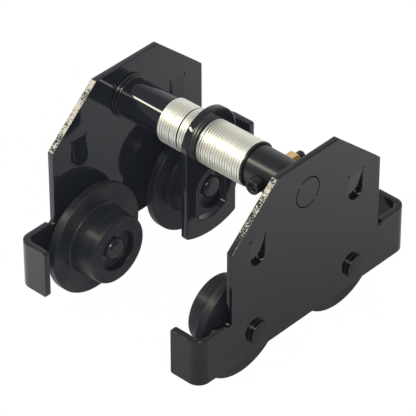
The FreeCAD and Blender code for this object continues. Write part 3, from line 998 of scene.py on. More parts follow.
@dataclass
class SidePlate:
    """Bent side plate with its two tongues, drawn flat and then folded."""

    side: Side
    thickness: float = 5.5
    width: float = 168.5
    top_width: float = 69.6
    height: float = 150.0
    shoulder_below_top: float = 43.4
    lug_height: float = 42.2
    lug_return: float = 29.9
    bend_radius: float = 5.1
    corner_radius: float = 2.0
    relief_radius: float = 2.5
    edge: float = 0.45
    shaft_hole: float = 26.4
    shaft_below_top: float = 30.8
    axle_hole: float = 15.04
    axle_height: float = 18.1
    wheel_base: float = 111.2
    tongue_spacing: float = 111.2
    tongue_half: float = 7.6
    tongue_length: float = 25.2
    tongue_hinge_below_top: float = 42.6
    tongue_angle: float = 8.2
    tongue_bend: float = 3.0
    slot_gap: float = 0.25
    tongue_relief: float = 1.1
    tongue_margin: float = 1.2
    spacing: float = 1.6
    bend_columns: int = 15
    bend_row_gap: float = 2.5
    tongue_columns: int = 9
    tongue_rows: int = 5
    relief_edge: float = 0.5
    shoulder_edge: float = 1.0
    shoulder_margin: float = 1.0
    shoulder_turn: float = 0.12
    relief_points: int = 13
    round_points: int = 25
    cap_points: int = 9
    hole_points: int = 96
    # How pale the shoulders are painted, as bare steel and lamp highlight: most at the top, and less
    # downwards by a loss that differs from plate to plate.
    bare_high: float = 1.12
    bare_loss: dict[Side, float] = field(default_factory=lambda: {Side.LEFT: 0.04, Side.RIGHT: 0.30})

    def __post_init__(self) -> None:
        """Reads the plate's place from the CAD node and works out the flat lengths."""
        self.node = f"side_plate_{self.side.word}"
        corners = cad_corners(self.node)
        self.base = corners[0, 2]
        self.inner_face = abs(corners[:, 0]).max() - self.thickness
        self.bend_start = corners[1, 1] - self.bend_radius - self.thickness
        self.bend_length = QUARTER_TURN * (self.bend_radius + self.thickness / 2)
        straight_return = self.lug_return - self.thickness - self.bend_radius
        self.flat_half = self.bend_start + self.bend_length + straight_return
        self.shoulder = self.height - self.shoulder_below_top
        self.hinge = self.height - self.tongue_hinge_below_top
        self.tongue_turn = math.radians(self.tongue_angle)
        self.tongue_bend_length = self.tongue_turn * (self.tongue_bend + self.thickness / 2)

    def outline(self) -> Array:
        """Flat outline with the lugs laid out and a round relief beside each.

        Returns:
            Points of the outline, anticlockwise, about the plate's middle and its lower edge.
        """
        half, top = self.width / 2, self.top_width / 2
        small, soft = self.relief_edge, self.shoulder_edge
        relief = self.relief_radius
        lug_start = half + 3 * relief
        notch = arc((half + relief, self.lug_height), relief, -np.linspace(0, math.pi, self.relief_points))
        lug = rounded([
            (lug_start, 0, small), (self.flat_half, 0, self.corner_radius),
            (self.flat_half, self.lug_height, self.corner_radius),
            (lug_start, self.lug_height, small)], closed=False)
        body = rounded([
            (half, self.lug_height, small), (half, self.shoulder, soft), (top, self.height, soft),
            (0, self.height, small)], closed=False)
        right = np.concatenate([lug, notch, body[1:]])
        left = right[-2::-1] * MIRROR
        return resampled(np.concatenate([right, left]), self.spacing)

    def slot_loop(self, centre: float) -> Array:
        """Narrow slot round a tongue: down and round outside, over a relief, back round the tongue.

        Args:
            centre: Place of the tongue's middle along the plate.

        Returns:
            Points of the slot's outline, clockwise.
        """
        outer = self.tongue_half + self.slot_gap
        low = (0.0, self.hinge - self.tongue_length + self.tongue_half)
        half_round = np.linspace(math.pi, FULL_TURN, self.round_points)
        cap = np.linspace(-QUARTER_TURN, QUARTER_TURN, self.cap_points)
        rise = np.sqrt(self.tongue_relief ** 2 - self.slot_gap ** 2)
        right_cap = np.concatenate([
            arc((outer, self.hinge), self.tongue_relief, cap), [[self.tongue_half, self.hinge + rise]]])
        loop = np.concatenate([
            arc(low, outer, half_round), right_cap, arc(low, self.tongue_half, half_round)[::-1],
            right_cap[::-1] * MIRROR])
        return resampled(loop, self.spacing)[::-1] + np.array([centre, 0])

    def bend_points(self) -> Array:
        """Points inside the outline where the sheet bends: columns at the lugs, rows at the tongues.

        Returns:
            Places on the flat sheet.
        """
        columns = self.bend_start + np.linspace(0, self.bend_length, self.bend_columns)
        rows = np.arange(2 * self.spacing, self.lug_height - self.spacing, self.bend_row_gap)
        lug = np.stack(np.meshgrid(columns, rows), 2).reshape(-1, 2)
        reach = self.tongue_half - self.tongue_margin
        across = np.linspace(-reach, reach, self.tongue_columns)
        down = self.hinge - np.linspace(0, self.tongue_bend_length, self.tongue_rows)
        tongue = np.stack(np.meshgrid(across, down), 2).reshape(-1, 2)
        shift = np.array([self.tongue_spacing / 2, 0])
        return np.concatenate([lug, lug * MIRROR, tongue + shift, tongue - shift])

    def folded(self, flat: Array, depth: Array) -> Array:
        """Places of the folded sheet, for the right-hand plate.

        Formula: past the start of a lug's bend, the angle is the distance along the sheet's middle
        divided by the middle's radius, up to a quarter turn, and the rest runs straight on inwards.
        A tongue turns in the same way about its hinge, by its own angle.

        Args:
            flat: Places on the flat sheet.
            depth: Depths below its inner face.

        Returns:
            Places in space.
        """
        u, w = flat[:, 0], flat[:, 1]
        along = np.clip(np.abs(u) - self.bend_start, 0, None)
        turn = np.clip(along / self.bend_length, 0, 1) * QUARTER_TURN
        beyond = np.clip(along - self.bend_length, 0, None)
        reach = self.bend_radius + depth
        x = -self.bend_radius + reach * np.cos(turn) - beyond * np.sin(turn)
        y = np.sign(u) * (np.minimum(np.abs(u), self.bend_start) + reach * np.sin(turn))
        offset = np.abs(np.abs(u) - self.tongue_spacing / 2)
        drop = self.hinge - w
        cut = self.slot_gap / 2
        low = self.tongue_length - self.tongue_half
        on_tongue = (offset < self.tongue_half + cut) & (drop > 0) & (drop < self.tongue_length + cut)
        on_tongue &= np.hypot(offset, np.clip(drop - low, 0, None)) < self.tongue_half + cut
        swing = np.clip(drop / self.tongue_bend_length, 0, 1) * self.tongue_turn
        rest = np.clip(drop - self.tongue_bend_length, 0, None)
        arm = self.tongue_bend + depth
        x = np.where(on_tongue, -self.tongue_bend + arm * np.cos(swing) - rest * np.sin(swing), x)
        z = np.where(on_tongue, self.hinge - arm * np.sin(swing) - rest * np.cos(swing), w)
        return np.stack([x + self.inner_face, y, z + self.base], 1)

    def sheared_glint(self, places: Array, mitres: Array) -> Array:
        """How pale an edge is painted, as bare steel and lamp highlight: on the two sloping shoulders, less
        so downwards, and not elsewhere.

        Args:
            places: Places of the edge's points on the flat sheet.
            mitres: Outward vectors there.

        Returns:
            Paleness for each point.
        """
        run = (self.width - self.top_width) / 2
        slope = math.atan2(run, self.shoulder_below_top)
        direction = np.arctan2(mitres[:, 1], np.abs(mitres[:, 0]))
        above = places[:, 1] - self.shoulder
        on_line = np.abs(places[:, 0]) + above * run / self.shoulder_below_top
        near = (np.abs(on_line - self.width / 2) < self.shoulder_margin) & (above > -self.shoulder_margin)
        top_share = np.clip(above / self.shoulder_below_top, 0, 1)
        paleness = self.bare_high - self.bare_loss[self.side] * (1 - top_share)
        return np.where(near & (np.abs(direction - slope) < self.shoulder_turn), paleness, 0.0)

    def build(self) -> None:
        """Folds the sheet and shows it on the frame."""
        holes = [hole((0, self.height - self.shaft_below_top), self.shaft_hole / 2, self.hole_points)]
        holes += [
            hole((sign * self.wheel_base / 2, self.axle_height), self.axle_hole / 2, self.hole_points // 2)
            for sign in (1, -1)]
        holes += [self.slot_loop(sign * self.tongue_spacing / 2) for sign in (1, -1)]
        sheet = Sheet(self.outline(), holes, self.thickness, self.edge, self.bend_points())
        surface = sheet.surface(self.folded, self.sheared_glint).on_side(self.side)
        # The far plate takes the lighter copy of the paint with the strong painted glow, as painted fill
        # light.
        finish = FILL_LIT_PAINT if self.side is Side.LEFT else PAINT
        shown(f"{self.node}_folded", surface, Body.FRAME.value, finish, self.node)


@dataclass
class Wheel:
    """Flanged wheel on its pin, at one corner of the trolley."""

    side: Side
    end: End
    flange_width: float = 8.0
    flange_edge: float = 1.2
    tread_root: float = 61.4
    tread_front: float = 57.4
    root_fillet: float = 1.6
    front_round: float = 1.6
    back_bore: float = 25.0
    bearing_outside: float = 35.0
    bore_edge: float = 0.8
    seat_edge: float = 0.3
    inner_edge: float = 0.1
    head_radius: float = 9.5
    head_inset: float = 1.2
    head_edge: float = 4.0
    shank_radius: float = 7.5
    rivet_rim: float = 3.5
    rivet_crown: float = 0.3
    rivet_edge: float = 0.4
    rivet_fillet: float = 0.45
    rivet_foot: float = 0.3
    rivet_toe: float = 0.05
    plate_thickness: float = 5.5
    columns: int = 160

    def __post_init__(self) -> None:
        """Reads the wheel's and the pin's places from the CAD nodes."""
        self.suffix = f"{self.end.word}_{self.side.word}"
        self.node = f"wheel_{self.suffix}"
        self.pin = f"axle_pin_{self.suffix}"
        wheel = cad_corners(self.node)
        self.centre = wheel.mean(0)
        self.flange_radius = cad_radius(self.node)
        self.back, self.front = abs(wheel[:, 0]).max(), abs(wheel[:, 0]).min()
        bearing = abs(cad_corners(f"bearing_outer_ring_{self.suffix}")[:, 0])
        self.bearing_back, self.bearing_front = bearing.max(), bearing.min()
        self.plate_face = abs(cad_corners(f"axle_spacer_{self.suffix}")[:, 0]).max()
        self.rivet_radius = abs(cad_corners(self.pin)[:, 2] - self.centre[2]).max()

    def wheel_profile(self) -> Array:
        """Closed section of the wheel: back, bore, bearing seat, recess, tread and flange.

        Returns:
            Rows of place along X and radius.
        """
        seat, bore = self.bearing_outside / 2, self.back_bore / 2
        flange_front = self.back - self.flange_width
        return rounded([
            (self.back, bore, self.bore_edge), (self.bearing_back, bore, self.seat_edge),
            (self.bearing_back, seat, self.inner_edge), (self.front, seat, self.bore_edge),
            (self.front, self.tread_front / 2, self.front_round),
            (flange_front, self.tread_root / 2, self.root_fillet),
            (flange_front, self.flange_radius, self.flange_edge),
            (self.back, self.flange_radius, self.flange_edge)], steps=8)

    def pin_profile(self) -> Array:
        """Section of the pin from the middle of its head to the middle of its riveted end.

        Returns:
            Rows of place along X and radius.
        """
        face = self.front + self.head_inset
        outer = self.plate_face + self.plate_thickness
        rivet_face = outer + self.rivet_rim
        flat = self.rivet_radius - 2 * self.rivet_edge
        stem = rounded([
            (face, 0, 0), (face, self.head_radius, self.head_edge),
            (self.bearing_front, self.head_radius, self.inner_edge),
            (self.bearing_front, self.shank_radius, self.inner_edge),
            (outer, self.shank_radius, self.inner_edge),
            (outer, self.rivet_radius + self.rivet_fillet, self.rivet_toe),
            (outer + self.rivet_fillet, self.rivet_radius, self.rivet_foot),
            (rivet_face, self.rivet_radius, self.rivet_edge), (rivet_face, flat, 0)], closed=False)
        return np.concatenate([stem[:-1], crown(flat, self.rivet_crown, rivet_face)])

    def placed(self, surface: Surface, share: Array) -> Surface:
        """A surface drawn on the right, moved to this wheel's corner and given its share."""
        return replace(surface, share=share).on_side(self.side).moved(0, self.centre[1], self.centre[2])

    def build(self) -> None:
        """Shows the wheel on its own body and the pin on the frame, and dresses the bearing."""
        wheel = revolved(self.wheel_profile(), self.columns)
        # Share 1 inside the bearing seat's radius: painted shade in the recess.
        depth = self.bearing_outside / 2 + self.bore_edge - np.hypot(wheel.points[:, 1], wheel.points[:, 2])
        wheel = self.placed(wheel, np.clip(depth / self.bore_edge, 0, 1))
        shown(f"{self.node}_turned", wheel, self.node, WHEEL_PAINT, self.node)
        pin = revolved(self.pin_profile(), self.columns // 2, closed=False)
        # Share 1 on the riveted end: the darker look with the faint glow, while the head in the recess keeps
        # the brighter painted glow.
        riveted = pin.points[:, 0] > self.plate_face + self.plate_thickness / 2
        pin = self.placed(pin, riveted.astype(float))
        shown(f"{self.pin}_riveted", pin, Body.FRAME.value, PIN_PAINT, self.pin)
        for kind, finish in (
                ("bearing_outer_ring", STEEL), ("bearing_inner_ring", STEEL), ("bearing_balls", STEEL),
                ("bearing_seals", RUBBER), ("retaining_ring", SPRING), ("axle_spacer", PAINT)):
            dressed(f"{kind}_{self.suffix}", finish)


@dataclass
class WeldBead:
    """Fillet weld of two passes round a pipe's root, drawn on the right.

    Attributes:
        side: Side of the trolley that it stands on.
        passes: Passes side by side along the section.
        pass_height: Height of a pass's half sine.
        pass_floor: Share of that height by which the passes lie deeper than the section's line.
        ripple_count: Ripples in one turn.
        ripple_height: Height of a ripple.
        ripple_sway: Radians that the ripples crowd and part by.
        sway_waves: How often they do so in one turn.
        ripple_lean: Radians that a ripple runs ahead by from the pipe to the plate.
        waver: Size of the slow change round the pipe.
        waver_waves: Waves in one turn of the two sines that make it.
        waver_shift: Radians that its first wave is shifted by.
        waver_share: Share of it that changes the height and the reach.
        outwards: Steps along X and the radius for one step square to the section's line.
        toe: How far the upper toe stays inside the bead's box.
        bite: Depth of its hidden corner in the plate, and of its lower end in the pipe.
        root: Height over the pipe of the hidden corner in the plate, then inset and depth of the
            one in the pipe.
        rows: Points along the section.
        columns: Points round the pipe.
    """

    side: Side
    passes: int = 2
    pass_height: float = 0.75
    pass_floor: float = 0.4
    ripple_count: int = 74
    ripple_height: float = 0.04
    ripple_sway: float = 1.3
    sway_waves: int = 3
    ripple_lean: float = 5.0
    waver: float = 0.25
    waver_waves: tuple[int, int] = (2, 5)
    waver_shift: float = 1.1
    waver_share: float = 0.2
    outwards: Pair = (-0.5, 0.86)
    toe: float = 0.5
    bite: Pair = (0.2, 0.05)
    root: Pair = (0.4, 0.6)
    rows: int = 25
    columns: int = 360

    def surface(self) -> Surface:
        """The bead about the X axis.

        Formula: along the section, the bead rises straight from the pipe to the plate. A half sine
        for each pass is added square to that line, and a ripple that follows the angle, shifted along
        the section so that its crests lean.

        Returns:
            Its closed surface.
        """
        node = f"sleeve_weld_{self.side.word}"
        low, high = cad_corners(node)
        pipe_radius = cad_radius(f"sleeve_{self.side.word}")
        out = cad_radius(node) - pipe_radius
        plate_x = max(abs(low[0]), abs(high[0]))
        along = high[0] - low[0]
        share = np.linspace(0, 1, self.rows)[:, None]
        turn = angles(self.columns)[None, :]
        ridge = self.pass_height * (np.abs(np.sin(self.passes * math.pi * share)) - self.pass_floor)
        sway = self.ripple_sway * np.sin(self.sway_waves * turn)
        lean = turn * self.ripple_count + sway + self.ripple_lean * share
        ripple = self.ripple_height * (0.5 + 0.5 * np.cos(lean)) * np.sin(math.pi * share)
        slow, quick = self.waver_waves
        waver = self.waver * np.sin(slow * turn + self.waver_shift) * np.sin(quick * turn)
        height = (ridge + ripple) * (1 + self.waver_share * waver)
        x = plate_x - along * (1 - share) + self.outwards[0] * height
        radius = pipe_radius + (out - self.toe) * share + self.outwards[1] * height
        radius = radius + self.waver_share * waver * share
        radius[0] = pipe_radius - self.bite[1]
        flat = np.zeros_like(turn)
        root_x = np.array([plate_x + self.bite[0], plate_x - along + self.root[1]])[:, None] + flat
        root_radius = np.array([pipe_radius + self.root[0], pipe_radius - self.root[1]])[:, None] + flat
        all_x = np.concatenate([x, root_x])
        all_radius = np.concatenate([radius, root_radius])
        grid = np.stack([all_x, all_radius * np.cos(turn), all_radius * np.sin(turn)], 2)
        return lattice(grid[::-1]).on_side(self.side)


@dataclass
class LoadShaft:
    """Shaft with the pipes welded to the plates, their weld beads and the end washer."""

    chamfer: float = 0.6
    sleeve_wall: float = 4.0
    sleeve_edge: float = 0.6
    sleeve_bore_edge: float = 0.2
    ring_spacing: float = 4.0
    disc_gap: float = 0.35
    disc_edge: float = 0.5
    disc_bore_edge: float = 0.1
    disc_columns: int = 128
    columns: int = 192

    def __post_init__(self) -> None:
        """Reads the shaft's axis from its CAD node."""
        corners = cad_corners("load_shaft")
        self.half_length = corners[1, 0]
        self.axis_height = corners[:, 2].mean()
        self.radius = cad_radius("load_shaft")

    def shaft(self) -> Array:
        """Section of the plain shaft with rounded ends, which starts and ends on its axis.

        Returns:
            Rows of place along X and radius.
        """
        half, small = self.half_length, self.chamfer
        return rounded([
            (-half, 0, 0), (-half, self.radius, small), (half, self.radius, small), (half, 0, 0)],
            closed=False)

    def ring(self, node: str, bore: float, bore_edge: float, edge: float) -> Array:
        """Closed section of a pipe or disc that fills a CAD node's box.

        Args:
            node: Name of the node.
            bore: Radius of its bore.
            bore_edge: Radius of the rounded edges at the bore.
            edge: Radius of the rounded edges outside.

        Returns:
            Rows of place along X and radius.
        """
        low, high = cad_corners(node)
        outside = cad_radius(node)
        return rounded([
            (low[0], bore, bore_edge), (high[0], bore, bore_edge), (high[0], outside, edge),
            (low[0], outside, edge)])

    def show(self, name: str, surface: Surface, finish: Finish, node: str) -> None:
        """Shows a piece drawn about the X axis on the frame, at the shaft's height."""
        shown(name, surface.moved(z=self.axis_height), Body.FRAME.value, finish, node)

    def build(self) -> None:
        """Shows shaft, pipes, beads and end washer on the frame."""
        self.show("load_shaft_bar", revolved(self.shaft(), self.columns, closed=False), PAINT, "load_shaft")
        # The left pipe takes the lighter copy of the paint with the strong painted glow, as painted fill
        # light.
        for side, finish in ((Side.LEFT, FILL_LIT_PAINT), (Side.RIGHT, SATIN_PAINT)):
            sleeve, weld = f"sleeve_{side.word}", f"sleeve_weld_{side.word}"
            bore = cad_radius(sleeve) - self.sleeve_wall
            section = self.ring(sleeve, bore, self.sleeve_bore_edge, self.sleeve_edge)
            pipe = revolved(resampled(section, self.ring_spacing), self.columns)
            self.show(f"{sleeve}_pipe", pipe, finish, sleeve)
            self.show(f"{weld}_bead", WeldBead(side).surface(), WELD_PAINT, weld)
        washer = "sleeve_end_washer"
        disc = self.ring(washer, self.radius + self.disc_gap, self.disc_bore_edge, self.disc_edge)
        self.show("sleeve_end_disc", revolved(disc, self.disc_columns), SATIN_PAINT, washer)


@dataclass
class WasherStack:
    """Spacer washers on the shaft between a pipe and the hanger."""

    side: Side
    thickness: float = 2.5
    bore: float = 26.4
    edge: float = 0.8
    bore_edge: float = 0.25
    groove_shade_power: float = 1.2
    scatter: float = 0.10
    seed: int = 17
    counts: dict[Side, tuple[int, int]] = field(
        default_factory=lambda: {Side.RIGHT: (18, 0), Side.LEFT: (8, 5)})
    columns: int = 96

    def build(self) -> None:
        """Shows the stack as one piece of separate washers, each a little off its neighbours."""
        node = f"spacer_washers_{self.side.word}"
        low, high = cad_corners(node)
        outside = cad_radius(node)
        middle = (high[2] + low[2]) / 2
        outer, inner = self.counts[self.side]
        starts = np.concatenate([
            low[0] + np.arange(outer) * self.thickness,
            high[0] - (inner - np.arange(inner)) * self.thickness])
        random = np.random.default_rng(self.seed + self.side.value)
        profile = rounded([
            (0, self.bore / 2, self.bore_edge), (self.thickness, self.bore / 2, self.bore_edge),
            (self.thickness, outside, self.edge), (0, outside, self.edge)], steps=5)
        washers = []
        for start in starts:
            shift = random.uniform(-self.scatter, self.scatter, 2)
            size = 1 + random.uniform(-self.scatter, 0) / outside
            washer = revolved(profile * np.array([1, size]), self.columns)
            # Share rises over the rounded edge into the groove between washers: painted shade.
            depth = outside * size - np.hypot(washer.points[:, 1], washer.points[:, 2])
            washer = replace(washer, share=np.clip(depth / self.edge, 0, 1) ** self.groove_shade_power)
            washers.append(washer.moved(start, shift[0], middle + shift[1] - self.scatter))
        shown(f"{node}_stack", Surface.joined(washers), Body.FRAME.value, ZINC, node)


@dataclass
class Hanger:
    """Plate that swings on the shaft and takes the hoist's hook."""

    width: float = 56.0
    thickness: float = 6.5
    edge: float = 1.0
    head_drop: float = 0.9
    bottom_sagitta: float = 6.0
    foot_radius: float = 3.0
    bore: float = 25.2
    window_width: float = 33.0
    window_arch: float = 44.2
    window_foot: float = 67.0
    window_sagitta: float = 5.6
    bottom: float = 87.7
    head_points: int = 49
    foot_points: int = 33
    foot_trim: int = 2
    arch_points: int = 41
    window_points: int = 25
    bore_points: int = 96
    spacing: float = 2.0
    edge_steps: int = 7

    def arc_through(self, half: float, ends: float, sagitta: float, count: int) -> Array:
        """Shallow arc from -half to half whose middle lies a sagitta below its ends.

        Args:
            half: Half of the arc's width.
            ends: Height of its ends.
            sagitta: Drop of its middle below them.
            count: Points on it.

        Returns:
            Points of the arc, one row each.
        """
        radius = (half ** 2 + sagitta ** 2) / (2 * sagitta)
        reach = math.asin(half / radius)
        turn = np.linspace(-reach, reach, count)
        return np.stack([radius * np.sin(turn), ends - sagitta + radius * (1 - np.cos(turn))], 1)

    def outline(self) -> Array:
        """Round head, straight sides, shallow round foot with rounded corners.

        Returns:
            Points of the outline, anticlockwise, about the head's bore.
        """
        half = self.width / 2
        head = arc((0, -self.head_drop), half, np.linspace(0, math.pi, self.head_points))
        ends = -self.bottom + self.bottom_sagitta
        foot = self.arc_through(half, ends, self.bottom_sagitta, self.foot_points)
        foot = foot[self.foot_trim:-self.foot_trim]
        left = rounded([(-half, 0, 0), (-half, ends, self.foot_radius), (*foot[0], 0)], closed=False)
        right = rounded([(*foot[-1], 0), (half, ends, self.foot_radius), (half, 0, 0)], closed=False)
        return resampled(np.concatenate([head[:-1], left[1:-1], foot[1:-1], right[1:-1]]), self.spacing)

    def window(self) -> Array:
        """Opening for the hook: round arch above, shallow round foot below.

        Returns:
            Points of the opening, clockwise.
        """
        half = self.window_width / 2
        arch = arc((0, -self.window_arch), half, np.linspace(0, math.pi, self.arch_points))
        foot = self.arc_through(half, -self.window_foot, self.window_sagitta, self.window_points)
        return resampled(np.concatenate([arch, foot]), self.spacing)[::-1]

    def build(self) -> None:
        """Shows the plate on its own body."""
        node = "hanger_plate"
        start = cad_corners(node)[0, 0]
        axis = cad_corners("load_shaft")[:, 2].mean()
        holes = [hole((0, 0), self.bore / 2, self.bore_points), self.window()]
        sheet = Sheet(self.outline(), holes, self.thickness, self.edge, steps=self.edge_steps)

        def stood(flat: Array, depth: Array) -> Array:
            """Stands the flat plate on edge at its place along the shaft."""
            return np.stack([start + depth, flat[:, 0], axis + flat[:, 1]], 1)

        # The hanger takes the lighter copy of the paint with the strong painted glow, as painted fill light.
        shown(f"{node}_forged", sheet.surface(stood), Body.HANGER.value, FILL_LIT_PAINT, node)


@dataclass
class CrossBolt:
    """Socket-head bolt through pipe and shaft, with its nut."""

    diameter: float = 8.0
    pitch: float = 1.25
    thread_depth: float = 0.55
    thread_length: float = 17.0
    head_diameter: float = 13.0
    head_height: float = 8.0
    head_round: float = 0.9
    seat_round: float = 0.3
    neck_round: float = 0.1
    neck_length: float = 2.0
    socket: float = 6.0
    socket_depth: float = 4.0
    socket_cone: float = 0.8
    countersink: float = 8.6
    rows_a_pitch: int = 14
    crest_power: float = 0.7
    tip_step: float = 0.35
    tip_bevel: float = 0.3
    nut_flats: float = 13.0
    nut_chamfer: float = 30.0
    nut_inset: float = 0.25
    nut_thread: float = 0.3
    nut_countersink: float = 0.5
    nut_mouth: float = 0.6
    nut_rows: int = 29
    columns: int = 144

    def __post_init__(self) -> None:
        """Works out the angles that every row has its points at."""
        self.turn = angles(self.columns)

    def hexagon(self, across: float) -> Array:
        """Radius of a hexagon at each angle: half the width across flats over the cosine to a flat."""
        sixth = FULL_TURN / 6
        return across / 2 / np.cos(np.mod(self.turn, sixth) - sixth / 2)

    def along_y(self, rows: Sequence[tuple[float, Array | float]], node: str, closed: bool) -> Surface:
        """Surface about the middle of a CAD node, along Y.

        Args:
            rows: Place along Y and radius of each row, the radius one number or one for each angle.
            node: Name of the CAD node.
            closed: Whether the last row joins the first.

        Returns:
            The surface.
        """
        centre, turn = cad_corners(node).mean(0), self.turn
        around = np.zeros_like(turn)
        y = np.array([place + around for place, _ in rows])
        radius = np.array([reach + around for _, reach in rows])
        grid = np.stack([centre[0] + radius * np.cos(turn), y, centre[2] + radius * np.sin(turn)], 2)
        return lattice(grid[::-1], close_rows=closed)

    def bolt(self, node: str) -> Surface:
        """Bolt from the socket's floor, out over the head and down the thread to the tip.

        Formula: each row has a place along Y and a radius, round or hexagonal. On the thread the
        radius drops by the thread's depth times a rounded saw of place over pitch plus angle.

        Args:
            node: Name of the CAD node that it stands for.

        Returns:
            Its closed surface.
        """
        top, tip = cad_corners(node)[:, 1]
        seat, floor = top + self.head_height, top + self.socket_depth
        head, shank = self.head_diameter / 2, self.diameter / 2
        mouth, socket = self.countersink / 2, self.hexagon(self.socket)
        rows = [(floor + self.socket_cone, 0.0), (floor, socket), (top + mouth - self.socket / 2, socket)]
        rows += rounded([
            (top, mouth, 0), (top, head, self.head_round), (seat, head, self.seat_round),
            (seat, shank, self.neck_round), (seat + self.neck_length, shank, 0)], closed=False).tolist()
        start = tip - self.thread_length
        places = np.arange(start, tip - self.pitch / 2, self.pitch / self.rows_a_pitch)
        fade = np.clip((places - start) / self.pitch, 0, 1)[:, None]
        saw = 0.5 + 0.5 * np.cos(FULL_TURN * (places[:, None] / self.pitch) + self.turn)
        rows += list(zip(places, shank - self.thread_depth * fade * saw ** self.crest_power))
        end = shank - self.thread_depth - self.tip_step
        rows += [(tip, end), (tip, end - self.tip_bevel), (tip, 0.0)]
        return self.along_y(rows, node, closed=False)

    def nut(self, node: str) -> Surface:
        """Hexagon nut with turned corners.

        Formula: the outer radius is the smaller of the hexagon's and a cone's, which starts at the
        width across flats on each end face and widens inwards at the chamfer's angle.

        Args:
            node: Name of the CAD node that it stands for.

        Returns:
            Its closed surface.
        """
        low, high = cad_corners(node)[:, 1]
        height = high - low
        inwards = np.linspace(0, height, self.nut_rows)
        nearest = np.minimum(inwards, height - inwards)
        cone = self.nut_flats / 2 - self.nut_inset + nearest / math.tan(math.radians(self.nut_chamfer))
        outer = np.minimum(self.hexagon(self.nut_flats)[None], cone[:, None])
        bore = self.diameter / 2 - self.nut_thread
        face = [cone[0] - self.nut_mouth, bore + self.nut_countersink, bore]
        places = [height, height, height - self.nut_mouth, self.nut_mouth, 0, 0]
        rows = list(zip(inwards + low, outer))
        rows += [(low + place, reach) for place, reach in zip(places, face + face[::-1])]
        return self.along_y(rows, node, closed=True)

    def build(self) -> None:
        """Shows bolt and nut on the frame."""
        body, bolt, nut = Body.FRAME.value, "lock_bolt", "lock_nut"
        shown(f"{bolt}_threaded", self.bolt(bolt), body, OXIDE, bolt)
        shown(f"{nut}_hexagon", self.nut(nut), body, YELLOW_ZINC, nut)


# Studio


@dataclass(frozen=True)
class Lamp:
    """Soft lamp aimed at the part. Direction is from the part, the distance and size in metres."""

    name: str
    direction: Triple
    distance: float
    width: float
    height: float
    radiance: float
    colour: Colour = WHITE

    def build(self, target: Vector) -> None:
        """Adds the lamp. Its power is radiance times area times pi.

        Args:
            target: Place that it is aimed at, in metres.
        """
        data = bpy.data.lights.new(self.name, "AREA")
        data.shape = "RECTANGLE"
        data.size, data.size_y = self.width, self.height
        data.energy = self.radiance * self.width * self.height * math.pi
        data.color = self.colour
        lamp = linked(self.name, data)
        away = Vector(self.direction).normalized()
        lamp.location = target + away * self.distance
        lamp.rotation_mode = "QUATERNION"
        lamp.rotation_quaternion = away.to_track_quat("Z", "Y")


@dataclass(frozen=True)
class PhotoCamera:
    """Camera of the photograph: angles in degrees, target and distance in millimetres."""

    azimuth: float = 42.900
    elevation: float = 37.002
    roll: float = -0.116
    distance: float = 2547.77
    target: Triple = (15.296, -23.812, 105.355)
    lens: float = 287.39
    sensor: float = 36.0
    shift: Pair = (0.00147, 0.00029)
    clip: Pair = (0.05, 50.0)

    def build(self) -> None:
        """Adds the camera and makes it the scene's own."""
        azimuth, elevation = math.radians(self.azimuth), math.radians(self.elevation)
        back = Vector((
            math.sin(azimuth) * math.cos(elevation), -math.cos(azimuth) * math.cos(elevation),
            math.sin(elevation)))
        data = bpy.data.cameras.new("photo_camera")
        data.sensor_width, data.lens = self.sensor, self.lens
        data.shift_x, data.shift_y = self.shift
        data.clip_start, data.clip_end = self.clip
        camera = linked("photo_camera", data)
        right = (-back).cross(Vector((0, 0, 1))).normalized()
        up = right.cross(-back)
        turn = Matrix.Rotation(math.radians(self.roll), 3, back)
        axes = Matrix((turn @ right, turn @ up, back)).transposed()
        camera.matrix_world = Matrix.Translation(
            (Vector(self.target) + back * self.distance) * METRES) @ axes.to_4x4()
        bpy.context.scene.camera = camera


